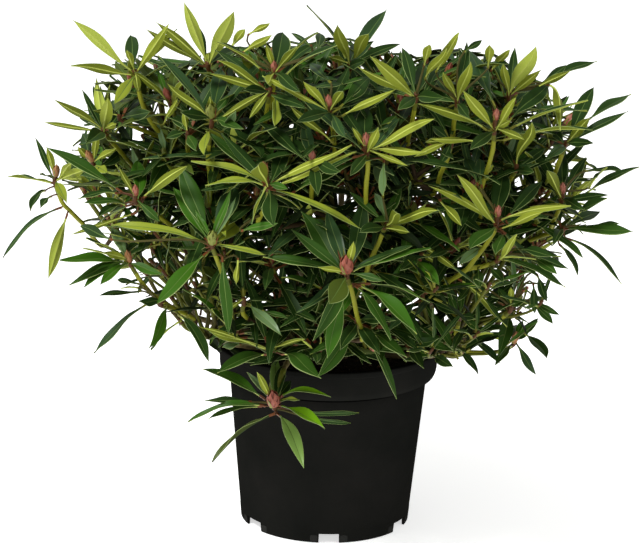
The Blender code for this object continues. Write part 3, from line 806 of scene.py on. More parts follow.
        (487, 306, 10, "tM"), (464, 288, 8, "tM"), (447, 290, 8, "tM"), (480, 330, 9, "tM"), (434, 303, 9, "tD"), (453, 367, 11, "tD", (434, 356)),
        (475, 318, 9, "tD"),
    ], [(457, 330, 0), (452, 342, 0.03)]),
    (420, 258, 424, 250, 0.03, "", [
        (439, 285, 14, "tF", (416, 258)), (418, 274, 12, "tM", (405, 262)), (445, 242, 12, "tD"), (400, 270, 12, "tD"), (436, 262, 9, "uo"),
    ], [(415, 272, 0.02)]),
    # over the rim
    (270, 352, 273, 342, 0.0, "", [
        (209, 332, 8, "uo", None, 3), (199, 327, 6, "uo", None, 3), (305, 339, 6, "uo"), (321, 378, 20, "tM", (281, 354), 5),
        (217, 373, 17, "tM", (267, 354), 4), (222, 347, 8, "tL", (241, 344)), (262, 320, 11, "tDf"), (292, 325, 10, "tDf"),
    ], [(276, 345, 0.02), (286, 332, 0.06)]),
]
ROSETTE = (274, 407, 272, 391, "R", [
    (276, 356, 13, "tSf"), (257, 372, 9, "uy"), (247, 372, 8, "tLf"), (203, 369, 17, "tF", (265, 399), 4),
    (188, 422, 9, "tF", (266, 406), 9), (205, 400, 8, "tD", (252, 402)), (208, 419, 7, "tM", (262, 406), 4),
    (212, 462, 4, "eO", (275, 413), 5), (304, 468, 17, "tS", (277, 413), 5), (325, 429, 15, "tG", (278, 405), 3),
    (331, 397, 9, "tG", (279, 398), 7), (300, 400, 5, "tY", (279, 402), 2), (359, 413, 8, "tD", (290, 409), -3),
    (351, 423, 7, "tD", (300, 415), -2), (286, 361, 12, "tDf"), (291, 380, 11, "tDf"),
])
# where the crown is dense in the front view, clockwise from the left: only listed leaves reach out of it
OUTLINE = [
    (58, 190), (62, 165), (72, 140), (78, 118), (88, 92), (104, 66), (120, 58), (150, 52), (166, 58),
    (190, 62), (212, 48), (240, 46), (262, 42), (280, 38), (300, 46), (320, 40), (340, 36), (362, 42),
    (380, 52), (402, 50), (420, 56), (440, 50), (470, 46), (500, 56), (520, 70), (545, 82), (562, 92),
    (588, 100), (590, 120), (588, 146), (600, 162), (598, 182), (596, 200), (586, 216), (596, 228),
    (575, 246), (560, 262), (548, 276), (550, 300), (548, 320), (530, 340), (520, 356), (480, 360),
    (450, 352), (430, 362), (330, 366), (240, 366), (214, 346), (182, 330), (160, 308), (128, 288),
    (100, 264), (92, 236), (74, 216),
]
# places where the view passes through the crown: pixel, radius, and the share of leaves kept there
OPEN = [
    (166, 252, 16, 0.4), (152, 262, 10, 0.3), (204, 292, 14, 0.7), (196, 318, 12, 0.6), (138, 131, 8, 0.1), (157, 108, 7, 0.2),
    (176, 220, 12, 0.4), (187, 208, 10, 0.5), (90, 250, 26, 0.25), (50, 235, 26, 0.1), (60, 310, 40, 0.0), (118, 330, 34, 0.0),
    (242, 118, 8, 0.35), (250, 131, 9, 0.35), (293, 127, 6, 0.3), (404, 128, 12, 0.35), (412, 145, 10, 0.4), (396, 104, 8, 0.4),
    (430, 170, 12, 0.5), (434, 197, 8, 0.4), (512, 137, 6, 0.3), (521, 178, 7, 0.2), (550, 152, 5, 0.2), (540, 236, 10, 0.3),
    (492, 276, 9, 0.2), (450, 272, 8, 0.2), (532, 288, 7, 0.2), (570, 250, 18, 0.15), (600, 250, 26, 0.1), (575, 300, 26, 0.0),
    (521, 306, 8, 0.3), (470, 296, 10, 0.4), (488, 318, 8, 0.3), (486, 326, 8, 0.3), (530, 350, 20, 0.1), (500, 345, 12, 0.3),
    (480, 358, 16, 0.1), (560, 340, 20, 0.0), (190, 345, 22, 0.1), (160, 330, 16, 0.1), (190, 310, 8, 0.5), (605, 150, 14, 0.25),
    (440, 318, 8, 0.4), (420, 300, 6, 0.4), (60, 130, 22, 0.0), (40, 160, 14, 0.0), (590, 172, 8, 0.2), (318, 215, 5, 0.3),
    (340, 198, 7, 0.4), (350, 205, 6, 0.4), (600, 205, 6, 0.2),
]


# the larger openings with nothing behind them, and their radius
GAPS = [
    (139, 137, 5.6), (163, 109, 5.4), (91, 209, 7.4), (80, 192, 4.3), (103, 199, 5.4), (112, 244, 4.0), (130, 275, 5.0),
    (146, 254, 5.0), (180, 258, 5.7), (156, 284, 6.1), (173, 297, 5.4), (194, 282, 4.5), (202, 319, 5.3), (211, 325, 8.3),
    (174, 319, 4.7), (492, 278, 7.9), (528, 315, 6.4), (537, 291, 5.1), (530, 277, 5.1), (477, 363, 8.9), (522, 347, 8.9),
    (515, 360, 10.2),
]
GAP_AT = np.array([(u, v) for u, v, _ in GAPS] + [(u, v) for u, v, _, _ in OPEN], float)
GAP_R = np.array([r for _, _, r in GAPS] + [r for _, _, r, _ in OPEN], float)
GAP_KEEP = np.array([0.0] * len(GAPS) + [k for _, _, _, k in OPEN])
GAP_EDGE = np.arange(len(GAP_R)) >= len(GAPS)


def in_outline(u, v, grow=0.0):
    inside = False
    cx, cy = 322.0, 210.0
    pts = [(cx + (a - cx) * (1 + grow), cy + (b - cy) * (1 + grow)) for a, b in OUTLINE]
    for (x0, y0), (x1, y1) in zip(pts, pts[1:] + pts[:1]):
        if (y0 > v) != (y1 > v) and u < (x1 - x0) * (v - y0) / (y1 - y0) + x0:
            inside = not inside
    return inside


def covers_gap(leaf, rng):
    """Whether a leaf, as it bows, would close one of the places left open."""
    base, tip, face = Vector(leaf["base"]), Vector(leaf["tip"]), Vector(leaf["face"])
    chord = tip - base
    ahead = chord.normalized()
    face = (face - ahead * face.dot(ahead)).normalized()
    side = ahead.cross(face)
    ts = np.linspace(0.0, 1.0, 9)
    spine = [base + chord * t + face * (leaf["arch"] * 4 * t * (1 - t) * (1.25 - 0.5 * t)) for t in ts]
    at = np.array([seen_at(q) for q in spine])
    aside = np.array(seen_at(spine[4] + side * 0.01)) - at[4]
    run = at[-1] - at[0]
    run = run / max(1e-6, np.linalg.norm(run))
    half = outline(ts, leaf["widest"]) * leaf["width"] / 2 * abs(aside[0] * run[1] - aside[1] * run[0]) / 0.01
    a, b = at[:-1, None], at[1:, None]
    t = np.clip(((GAP_AT - a) * (b - a)).sum(-1) / np.maximum(((b - a) ** 2).sum(-1), 1e-6), 0, 1)
    off = np.linalg.norm(a + (b - a) * t[..., None] - GAP_AT, axis=-1) - half[:-1, None] * (1 - t) - half[1:, None] * t
    closed = off.min(0) < np.where(GAP_EDGE, np.maximum(GAP_R - 5, GAP_R * 0.45), GAP_R * 0.8)
    return any(rng.random() > keep for keep in GAP_KEEP[closed])


def whorl_axis(p, rng, tilt=0.25):
    """The way a whorl's shoot points: out from the crown's middle, and up."""
    out = Vector((p.x, p.y, (p.z - 0.28) * 0.9))
    out = out.normalized() if out.length > 1e-6 else UP.copy()
    d = out * 0.75 + UP * 0.95 + Vector([rng.uniform(-tilt, tilt) for _ in range(3)])
    return d.normalized()


BOX_LOW = cad_low - Vector((0.014, 0.014, 0))
BOX_HIGH = cad_high + Vector((0.014, 0.014, 0.013))


def outside_box(p):
    return max(max(BOX_LOW[k] - p[k], p[k] - BOX_HIGH[k]) for k in range(3))


def hero_whorls(rng):
    """The listed whorls, put in the space that the view shows them in."""
    whorls = []
    for u, v, bu, bv, back, bud, listed, via in HEROES:
        y = on_front(u, v).y + back
        for _ in range(30):  # far enough back for its highest leaf to stay inside the crown
            if max(outside_box(at_depth(leaf[0], leaf[1], y)) for leaf in listed) <= 0.004 or y > 0.12:
                break
            y += 0.01
        p = at_depth(u, v, y)
        tip = at_depth(bu, bv, y - math.hypot(bu - u, bv - v) * 0.00055)
        axis = (tip - p).normalized()
        top = max(0.004, (tip - p).length - BUD_SIZES[bud]) if bud else 0.006
        whorls.append({
            "node": p, "p": p + axis * top, "axis": axis, "y": y, "bud": bud, "listed": listed,
            "via": [at_depth(a, b, y + c) for a, b, c in via], "hero": True, "rank": 0, "pixel": (u, v),
        })
    return whorls


def place_whorls(rng, heroes):
    """The rest of the crown: an outer shell all round and over the top, behind the listed whorls
    where these face the front, and a deeper layer that closes it."""
    whorls = []

    def clear(p, own, others, among):
        return all((p - w["p"]).length > own for w in among) and all((p - w["p"]).length > others for w in heroes)

    tries = 0
    while tries < 26000:
        tries += 1
        if rng.random() < 0.30:
            a, r = rng.uniform(0, 2 * math.pi), math.sqrt(rng.random()) * 0.25
            z = CROWN_TOP - INSET * 0.62 - rng.uniform(0, 0.02)
        else:
            a, z = rng.uniform(0, 2 * math.pi), rng.uniform(0.225, 0.50)
            r = along(CROWN, z) - INSET - rng.uniform(0, 0.02)
        p = Vector((r * math.cos(a), r * math.sin(a) * DEPTH_RATIO, z))
        if crown_inside(p, INSET - 0.004) < 0 or (p.z < 0.24 and math.hypot(p.x, p.y) < 0.165):
            continue
        u, v = seen_at(p)
        if not in_outline(u, v, -0.09):
            continue
        if p.y < 0.02:  # the listed whorls are the front's outer layer
            p = p + (p - CAM_AT).normalized() * rng.uniform(0.035, 0.06)
        if not clear(p, 0.048 + 0.010 * rng.random(), 0.043, whorls):
            continue
        whorls.append({"p": p, "axis": whorl_axis(p, rng), "rank": 1})
    outer = list(whorls)
    tries = 0
    while tries < 9000:
        tries += 1
        a, z = rng.uniform(0, 2 * math.pi), rng.uniform(0.245, 0.47)
        r = along(CROWN, z) - 0.125 - rng.uniform(0, 0.05)
        p = Vector((r * math.cos(a), r * math.sin(a) * DEPTH_RATIO, z))
        if rng.random() < 0.25:
            r = math.sqrt(rng.random()) * 0.20
            p = Vector((r * math.cos(a), r * math.sin(a), rng.uniform(0.42, 0.455)))
        if math.hypot(p.x, p.y) < 0.12 and p.z < 0.38:
            continue
        if not clear(p, 0.042, 0.042, whorls[len(outer):]) or any((p - w["p"]).length < 0.037 for w in outer):
            continue
        whorls.append({"p": p, "axis": whorl_axis(p, rng, 0.35), "rank": 2})
    # low on the right the shoots are close together and their leaves small
    low = []
    for _ in range(450):
        u, v = rng.uniform(432, 546), rng.uniform(272, 350)
        if not in_outline(u, v, -0.03):
            continue
        p = on_front(u, v, 0.03)
        p = at_depth(u, v, p.y + rng.uniform(0.0, 0.07))
        if math.hypot(p.x, p.y) < LIP_R + 0.02 and p.z < POT_H + 0.02:
            continue
        if not clear(p, 0.047, 0.026, low):
            continue
        low.append({"p": p, "axis": whorl_axis(p, rng, 0.3), "rank": 1, "small": rng.uniform(0.52, 0.72)})
    # low on the left small whorls hide the boughs' feet
    left = []
    for _ in range(900):
        u, v = rng.uniform(138, 238), rng.uniform(228, 322)
        if not in_outline(u, v, -0.03):
            continue
        p = on_front(u, v, 0.03)
        p = at_depth(u, v, p.y + rng.uniform(0.055, 0.115))
        if math.hypot(p.x, p.y) < LIP_R + 0.02 and p.z < POT_H + 0.03:
            continue
        if not clear(p, 0.034, 0.026, left):
            continue
        left.append({"p": p, "axis": whorl_axis(p, rng, 0.3), "rank": 1, "small": rng.uniform(0.62, 0.85)})
    return whorls + low + left


BUD_SIZES = {"R": 0.0195, "r": 0.0145, "p": 0.0130, "g": 0.0155, "t": 0.0145}
TONES = {"D": 0, "B": 1, "M": 2, "F": 3, "O": 4, "L": 5, "Y": 6, "K": 7, "G": 8, "S": 9}
BELOW = {"o": 0, "y": 1, "p": 2, "d": 3}


def leaf_of(base, tip, face, rng, top, under, petiole, width, arch, level=1, twist=0.2, fold=None):
    return {
        "base": tuple(base), "tip": tuple(tip), "face": tuple(face), "arch": arch, "width": width,
        "widest": rng.uniform(0.50, 0.62), "fold": rng.uniform(0.18, 0.45) if fold is None else fold,
        "roll": rng.uniform(0.0, 0.35), "twist": rng.gauss(0, twist), "wave": rng.uniform(0.2, 1.0),
        "phase": rng.random(), "sway": rng.gauss(0, 0.010), "thin": 1.0,
        "top": top, "under": under, "petiole": petiole, "level": level,
    }


def toward_view(base, d):
    """Across a leaf that points along d: straight to the camera, and sideways to that."""
    c = (CAM_AT - base).normalized()
    n = (c - d * c.dot(d))
    n = n.normalized() if n.length > 1e-3 else UP.copy()
    return n, d.cross(n).normalized()


def grow_hero(w, rng, leaves, shoots):
    """The leaves of a listed whorl, and a thin stalk to each that starts away from its shoot."""
    node_at, axis, y = w["node"], w["axis"], w["y"]
    red = 0 if rng.random() < 0.35 else 1
    for entry in w["listed"]:
        tu, tv, px, code = entry[:4]
        given = entry[4] if len(entry) > 4 else None
        bow = entry[5] * 0.001 if len(entry) > 5 else None
        if given:
            base = at_depth(given[0], given[1], y)
        else:
            young = px <= 9 and math.hypot(tu - w["pixel"][0], tv - w["pixel"][1]) < 45
            base = node_at + axis * (0.006 if young else rng.uniform(-0.001, 0.004))
        flat = at_depth(tu, tv, base.y)
        d2 = (flat - base).length
        natural = max(d2, min(0.088, px * 0.00535))
        if px <= 9 and d2 < 0.045:
            natural = d2 * 1.05
        reach = min(0.058, math.sqrt(max(0.0, natural**2 - d2**2))) + d2 * 0.12
        side, tone = code[0], code[1]
        pull = code[2] if len(code) > 2 else ""
        sign = {"n": -1, "f": 1}.get(pull)
        if sign is None:
            sign = -1 if side in "um" or tv > w["pixel"][1] - 12 else 1
        tip = at_depth(tu, tv, base.y + sign * reach)
        for _ in range(8):
            if outside_box(tip) <= 0.004:
                break
            reach *= 0.7
            tip = at_depth(tu, tv, base.y + sign * reach)
        d = (tip - base).normalized()
        n, s = toward_view(base, d)
        if s.z < 0:
            s = -s
        lean = rng.uniform(-0.35, 0.35)
        up = UP - d * UP.dot(d)
        if side == "t":
            face = n + s * lean + up * 0.35
        elif side == "u":
            face = -n + s * lean + up * 0.35
        elif side == "m":
            face = s + n * 0.15
        else:
            face = s + n * rng.uniform(-0.12, 0.12)
        length = (tip - base).length
        width = px * (0.00086 if side == "u" else 0.00094)
        if side == "e":
            width = max(width, min(0.012, length * 0.16))
        if bow is None:
            arch = length * (rng.uniform(0.02, 0.07) if side != "u" else rng.uniform(-0.01, 0.04))
        else:  # bowed up in the view: lean the face that way, and bow by as much
            arch = bow * 1.25 * (1 if side != "u" else -1)
            face = face + s * (0.9 if side != "u" else -0.9) * (1 if bow > 0 else -1) * (1 if s.z > 0 else -1)
            arch = abs(arch) if side != "u" else -abs(arch)
            if side in "me":
                arch = bow * 1.1
        top = TONES[tone] if side in "tme" and tone in TONES else rng.choice((0, 0, 2))
        under = BELOW[tone] if tone in BELOW else rng.choice((0, 0, 1, 3))
        if side == "m":
            top, under = 0, (1 if tone == "Y" else 0)
        if given:
            near = min(w["path"], key=lambda q: (q - base).length)
            if (near - base).length > 0.0022:
                out = (base - near).normalized()
                stalk = smooth_path(near, out * 0.8 + axis * 0.3, base, out * 0.4 + d * 0.8, 6)
                far = (base - near).length
                thick = 0.0010 if far < 0.02 else 0.0014
                shoots.add(*tube(stalk, np.linspace(thick, 0.00085, 7), 6, 0, [1 if far > 0.02 else 2 * red] * 6, 0.04, len(leaves)))
        leaf = leaf_of(base, tip, face, rng, top, under, red, width, arch, 0, twist=0.18, fold=0.5 if side == "m" else rng.uniform(0.28, 0.6))
        leaf["mass"] = w["mass"]
        leaves.append(leaf)
    # leaves on the far side of the whorl, which the view does not show
    out = (node_at - CAM_AT).normalized()
    for k in range(3):
        d = (out * 1.0 + axis * 0.3 + Vector([rng.uniform(-0.7, 0.7) for _ in range(3)])).normalized()
        length = rng.uniform(0.066, 0.085)
        tip = node_at + d * length
        if not keep_tip(tip):
            continue
        leaf = leaf_of(node_at, tip, axis - d * 0.2, rng, 0, 3, red, length * 0.16, length * 0.05, 2)
        leaf["mass"] = w["mass"]
        if not covers_gap(leaf, rng):
            leaves.append(leaf)


def whorl_tone(w, rng):
    """Colours of one whorl: painted shade inside, and mixed outside."""
    if w["rank"] == 2:
        # inner whorls: painted shade, near-black tops and dull undersides
        return {"top": rng.choice((0, 0, 0, 7)), "under": 3, "petiole": rng.randrange(2)}
    front = w["p"].y < 0.02
    if "small" in w:
        # small low whorls: painted shade in near-black tops and dull undersides, painted sheen in the pale tops
        return {"top": rng.choice((0, 7, 0, 1, 5)), "under": rng.choice((0, 3, 1)), "petiole": 0}
    if front and 60 < seen_at(w["p"])[0] < 215 and "small" not in w:
        return {"top": rng.choice((2, 3, 4, 4, 5, 6)), "under": rng.choice((0, 1, 1, 2)), "petiole": 0}
    top = rng.choice((0, 0, 0, 1, 2, 2)) if front else rng.choice((0, 0, 1, 1, 2, 2, 3, 4))
    return {"top": top, "under": rng.choice((0, 0, 1, 3)), "petiole": 0 if rng.random() < 0.4 else 1}


def grow_whorl(w, rng, leaves):
    """A whorl: spirally set leaves round the shoot's end, the lower ones spreading, the upper ones
    smaller and more upright, round a bud."""
    axis, p = w["axis"], w["p"]
    tone = whorl_tone(w, rng)
    inner = w["rank"] == 2
    small = w.get("small", 1.0)
    count = rng.randint(9, 11) if inner else rng.randint(7, 9) if small < 1 else rng.randint(10, 12)
    side = axis.cross(Vector((0.3, 0.2, 0.93))).normalized()
    up = axis.cross(side)
    start = rng.uniform(0, 2 * math.pi)
    droop = 0.05 + 0.22 * min(1, max(0, (0.42 - p.z) / 0.16))
    for k in range(count):
        share = k / max(1, count - 1)  # 0 at the lowest leaf, 1 at the highest
        a = start + k * 2.39996 + rng.uniform(-0.25, 0.25)
        spread = math.radians(rng.uniform(66, 92) * (1 - share) + rng.uniform(26, 46) * share)
        radial = side * math.cos(a) + up * math.sin(a)
        d = axis * math.cos(spread) + radial * math.sin(spread)
        d = (d + Vector((0, 0, -droop)) * (1 - 0.6 * share)).normalized()
        length = rng.uniform(0.072, 0.094) * (1 - 0.30 * share**1.6) * small
        base = p - axis * (0.016 * (1 - share)) + radial * 0.0024
        tip = base + d * length
        for _ in range(6):
            if keep_tip(tip):
                break
            tip = base + (tip - base) * 0.92
        if (tip - base).length < 0.05 * small or not keep_tip(tip):
            continue
        top = tone["top"] if rng.random() < 0.75 or inner else rng.choice((0, 1, 2, 3))
        under = tone["under"] if inner or rng.random() < 0.75 else rng.choice((0, 0, 1, 3))
        leaf = leaf_of(
            base, tip, axis * 0.9 + UP * 0.3 - d * 0.2, rng, top, under, tone["petiole"],
            min(0.0170, length * (rng.uniform(0.11, 0.15) if inner else rng.uniform(0.10, 0.135) if small < 1 else rng.uniform(0.125, 0.165))),
            length * rng.uniform(0.03, 0.09) * (1 - 0.4 * share),
            2 if inner or (p.y < 0.02 and rng.random() < 0.5) else 1,
        )
        leaf["mass"] = w["mass"]
        if not covers_gap(leaf, rng):
            leaves.append(leaf)
    if w["rank"] == 1 and small == 1.0:
        for k in range(rng.randint(1, 3)):  # young leaves round the bud
            a = rng.uniform(0, 2 * math.pi)
            radial = side * math.cos(a) + up * math.sin(a)
            d = (axis + radial * rng.uniform(0.25, 0.6)).normalized()
            length = rng.uniform(0.020, 0.042)
            base = p + radial * 0.0015
            if not in_outline(*seen_at(base + d * length), -0.03):
                continue
            leaf = leaf_of(base, base + d * length, -radial + axis * 0.2, rng, rng.choice((3, 5, 4)), rng.choice((1, 2)), 0, length * 0.2, -length * 0.04, 2)
            leaf["mass"] = w["mass"]
            if not covers_gap(leaf, rng):
                leaves.append(leaf)


def keep_tip(tip):
    if outside_box(tip) > -0.004:
        return False
    if SOIL_TOP + 0.012 < tip.z < POT_H + 0.006 and math.hypot(tip.x, tip.y) < LIP_R + 0.012:
        return math.hypot(tip.x, tip.y) < LIP_R - 0.012
    if tip.z < SOIL_TOP + 0.012 and math.hypot(tip.x, tip.y) < LIP_R + 0.012:
        return False
    u, v = seen_at(tip)
    return in_outline(u, v)


# ---------------------------------------------------------------------------------------------
# limbs, shoots and leaves
# ---------------------------------------------------------------------------------------------
def smooth_path(a, da, b, db, count):
    """Points from a, leaving along da, to b, arriving along db."""
    far = (b - a).length
    pts = (a, a + da.normalized() * far * 0.36, b - db.normalized() * far * 0.36, b)
    return [bezier(pts, k / count) for k in range(count + 1)]


def through(points, each):
    """A smooth path through points, with a few steps between each two."""
    ends = [points[0] * 2 - points[1]] + list(points) + [points[-1] * 2 - points[-2]]
    path = []
    for k in range(1, len(ends) - 2):
        a, b, c, d = ends[k - 1 : k + 3]
        for j in range(each):
            t = j / each
            path.append(0.5 * ((b * 2) + (c - a) * t + (a * 2 - b * 5 + c * 4 - d) * t * t + (b * 3 - a - c * 3 + d) * t**3))
    return path + [points[-1]]


def nearest_mass(p, masses):
    return min(range(len(masses)), key=lambda k: (masses[k][1] - p).length)


def build_plant():
    masses = mass_centres()
    rng = random.Random(31)
    heroes = hero_whorls(rng)
    whorls = heroes + place_whorls(random.Random(20), heroes)
    u, v, bu, bv, bud, listed = ROSETTE
    node_at, tip = at_depth(u, v, -0.165), at_depth(bu, bv, -0.176)
    whorls.append({
        "node": node_at, "p": node_at + (tip - node_at).normalized() * 0.004, "axis": (tip - node_at).normalized(), "y": -0.165, "bud": bud, "listed": listed,
        "via": [], "hero": True, "rank": 0, "pixel": (u, v), "droop": True,
    })
    shoots, bark, buds = Heap(), Heap(), Heap()
    leaves = []

    # each bough of the CAD, with its own bark
    ends = {}
    for n, (name, centre, azimuth, leaves_at) in enumerate(masses):
        path = bough_path(centre, azimuth, leaves_at)
        cad = np.array([vert.co for vert in frame["nodes"][f"bough_{name}"].data.vertices])
        samples = np.array([tuple(bezier(path, k / 400)) for k in range(401)])
        near = ((cad[:, None, :] - samples[None]) ** 2).sum(2).argmin(1)
        last = near.max() / 400
        pts = [bezier(path, last * k / 30) for k in range(31)]
        radii = [BOUGH_R + (BOUGH_TIP_R - BOUGH_R) * k / 30 for k in range(31)]
        radii = [r * (1 + 0.10 * math.sin(k * 1.9 + n)) for k, r in enumerate(radii)]
        bark.add(*tube(pts, radii, 10, 0, None, 0.07, n))
        ends[n] = (pts[-1], (pts[-1] - pts[-2]).normalized())

    for w in whorls:
        w["mass"] = len(masses) - 1 if w.get("droop") else nearest_mass(w["p"], masses[:-1])
    for n, (name, centre, azimuth, _) in enumerate(masses):
        mine = [w for w in whorls if w["mass"] == n]
        if not mine:
            continue
        end, heading = ends[n]
        if name == "droop":
            w = mine[0]
            path = smooth_path(end, heading, w["node"], w["axis"], 14) + [w["p"]]
            w["path"] = path
            shoots.add(*tube(path, np.linspace(0.0027, 0.0023, 16), 8, 0, [0] * 11 + [2] * 4, 0.04, n))
            continue
        # forks: whorls that are close together grow from one older whorl
        forks = max(1, round(len(mine) / 3.2))
        spots = [mine[int(k * len(mine) / forks)]["p"].copy() for k in range(forks)]
        for _ in range(12):
            groups = [[] for _ in spots]
            for w in mine:
                groups[min(range(forks), key=lambda k: (spots[k] - w["p"]).length)].append(w)
            spots = [sum((w["p"] for w in g), Vector()) / len(g) if g else s for g, s in zip(groups, spots)]
        for g, spot in zip(groups, spots):
            if not g:
                continue
            back = end - spot
            pull = min(0.072, back.length * 0.6)
            fork = spot + back.normalized() * pull if back.length > 1e-4 else spot.copy()
            lean = sum((w["axis"] for w in g), Vector()).normalized()
            fork = fork - lean * 0.018
            arriving = ((fork - end).normalized() * 0.7 + lean * 0.5).normalized()
            if (fork - end).length > 0.008:
                path = smooth_path(end, heading, fork, arriving, 12)
                shoots.add(*tube(path, np.linspace(0.0024, 0.0019, 13), 8, 3, [3] * 3 + [1] * 9, 0.06, n))
            else:
                fork = end.copy()
            grow_whorl({"p": fork, "axis": arriving, "rank": 2, "mass": n}, rng, leaves)
            for w in g:
                if w.get("hero"):
                    stops = [fork] + w["via"][::-1] + [w["node"], w["p"]]
                    path = through([s for k, s in enumerate(stops) if k == 0 or (s - stops[k - 1]).length > 0.003], 5)
                    w["path"] = path
                    radii = np.linspace(0.0023, 0.0021, len(path))
                    m = len(path) - 1
                    kinds = [3 if k < 5 else 4 for k in range(m)]
                    kinds[-6:] = [2] * min(6, m)
                    if m > 8:
                        kinds[-8:-6] = [0] * 2
                    radii[-6:] *= 1.1
                    shoots.add(*tube(path, radii, 9, 4, kinds, 0.04, n * 50 + len(leaves)))
                    continue
                path = smooth_path(fork, (arriving + (w["p"] - fork).normalized()).normalized(), w["p"], w["axis"], 10)
                tip_r = 0.0021 if w["rank"] < 2 else 0.0019
                radii = np.linspace(0.0025, tip_r, 11)
                radii[-2:] *= (1.12, 1.25)
                green = 0 if w["rank"] < 2 else 1
                if w.get("small"):
                    radii *= 0.62
                shoots.add(*tube(path, radii, 7, green, [1] + [green] * 8 + [2], 0.04, n * 50 + len(leaves)))
    for w in whorls:
        if w.get("hero"):
            grow_hero(w, rng, leaves, shoots)
            if w["bud"]:
                grow_bud(w, rng, buds)
        else:
            grow_whorl(w, rng, leaves)
            if w["rank"] < 2 and "small" not in w:
                grow_bud(w, rng, buds)
    return masses, leaves, shoots, bark, buds, whorls


def grow_bud(w, rng, buds):
    """A pointed bud of overlapping scales."""
    axis = w["axis"]
    if w.get("hero"):
        size = BUD_SIZES[w["bud"]]
        kind = {"R": 1, "r": 0, "p": 0, "g": 2, "t": 3}[w["bud"]]
    else:
        size = rng.uniform(0.009, 0.014)
        kind = rng.choice((0, 0, 1, 1, 2, 3))
    side = np.array(tuple(axis.cross(Vector((0.2, 0.9, 0.31))).normalized()))
    a = np.array(tuple(axis))
    up = np.cross(a, side)
    at = np.array(tuple(w["p"]))
    rings = [(0.0, 0.55), (0.10, 0.85), (0.28, 1.0), (0.50, 0.86), (0.70, 0.56), (0.86, 0.27), (1.0, 0.03)]
    fat = size * (0.27 if w.get("bud") in ("R", "g") else 0.20)
    path = [at + a * size * h for h, _ in rings]
    pts, quads, kinds, tris, tri_kinds = tube(path, [fat * r for _, r in rings], 8, kind)
    buds.add(pts, quads, kinds, tris, tri_kinds)
    # scales: small curved shields round the bud, in rows
    for row, (h0, h1, r0, r1) in enumerate(((0.0, 0.42, 0.9, 1.05), (0.22, 0.66, 1.06, 0.92), (0.45, 0.92, 1.0, 0.5))):
        for k in range(5):
            turn = 2 * math.pi * (k + row * 0.5) / 5
            cols = []
            for i, du in enumerate(np.linspace(0, 1, 4)):
                h = h0 + (h1 - h0) * du
                r = fat * (r0 + (r1 - r0) * du + 0.16 * math.sin(math.pi * du) + 0.06)
                spread = 0.62 * (1 - du**2.2) + 0.02
                cols.append([
                    at + a * size * h + (side * math.cos(turn + s * spread) + up * math.sin(turn + s * spread)) * r * (1 + 0.05 * (1 - abs(s)))
                    for s in (-1, 0, 1)
                ])
            block = np.array(cols).reshape(-1, 3)
            q = [(i * 3 + j, i * 3 + j + 1, i * 3 + j + 4, i * 3 + j + 3) for i in range(3) for j in range(2)]
            buds.add(block, q, [kind if row else (1 if kind < 2 else kind)] * 6)
    # narrow bracts that stand out from its foot
    for k in range(4):
        turn = 2 * math.pi * (k + 0.3 * math.sin(k * 5.1 + size * 900)) / 4
        radial = side * math.cos(turn) + up * math.sin(turn)
        cross = np.cross(a, radial)
        length = size * (0.85 + 0.25 * math.sin(k * 2.3 + size * 700))
        cols = []
        for i, du in enumerate(np.linspace(0, 1, 4)):
            mid = at + a * (length * du) + radial * (fat * (1.0 + 0.9 * du**1.5))
            wide = fat * 0.34 * (1 - du) ** 0.7 + 0.00005
            cols.append([mid - cross * wide, mid + radial * wide * 0.3, mid + cross * wide])
        block = np.array(cols).reshape(-1, 3)
        q = [(i * 3 + j, i * 3 + j + 1, i * 3 + j + 4, i * 3 + j + 3) for i in range(3) for j in range(2)]
        buds.add(block, q, [2 if k % 2 else 1] * 6)


# ---------------------------------------------------------------------------------------------
# pot, compost and stem
# ---------------------------------------------------------------------------------------------
def lathe_arrays(profile, segments):
    pts = np.array(profile, float)
    angles = 2 * np.pi * np.arange(segments) / segments
    ring = np.stack([np.outer(np.cos(angles), pts[:, 0]), np.outer(np.sin(angles), pts[:, 0]), np.tile(pts[:, 1], (segments, 1))], -1)
    m = len(pts)
    index = np.arange(segments * m).reshape(segments, m)
    a, b = index[:, :-1], index[:, 1:]
    c, d = np.roll(index, -1, 0)[:, 1:], np.roll(index, -1, 0)[:, :-1]
    return ring.reshape(-1, 3), np.stack([a, d, c, b], -1).reshape(-1, 4)


def fillet(profile, sizes, steps=4):
    """Rounds the corners of an open profile: sizes gives each point's radius, 0 for none."""
    out = []
    for k, (p, r) in enumerate(zip(profile, sizes)):
        p = np.array(p, float)
        if r <= 0 or k in (0, len(profile) - 1):
            out.append(p)
            continue
        before, after = np.array(profile[k - 1], float), np.array(profile[k + 1], float)
        a, b = before - p, after - p
        r = min(r, np.linalg.norm(a) * 0.48, np.linalg.norm(b) * 0.48)
        a, b = p + a / np.linalg.norm(a) * r, p + b / np.linalg.norm(b) * r
        for j in range(steps + 1):
            t = j / steps
            out.append(a * (1 - t) ** 2 + p * 2 * t * (1 - t) + b * t * t)
    return out


def wall_r(z):
    return FOOT_R + (WALL_TOP_R - FOOT_R) * z / (POT_H - LIP_H - BAND_H)


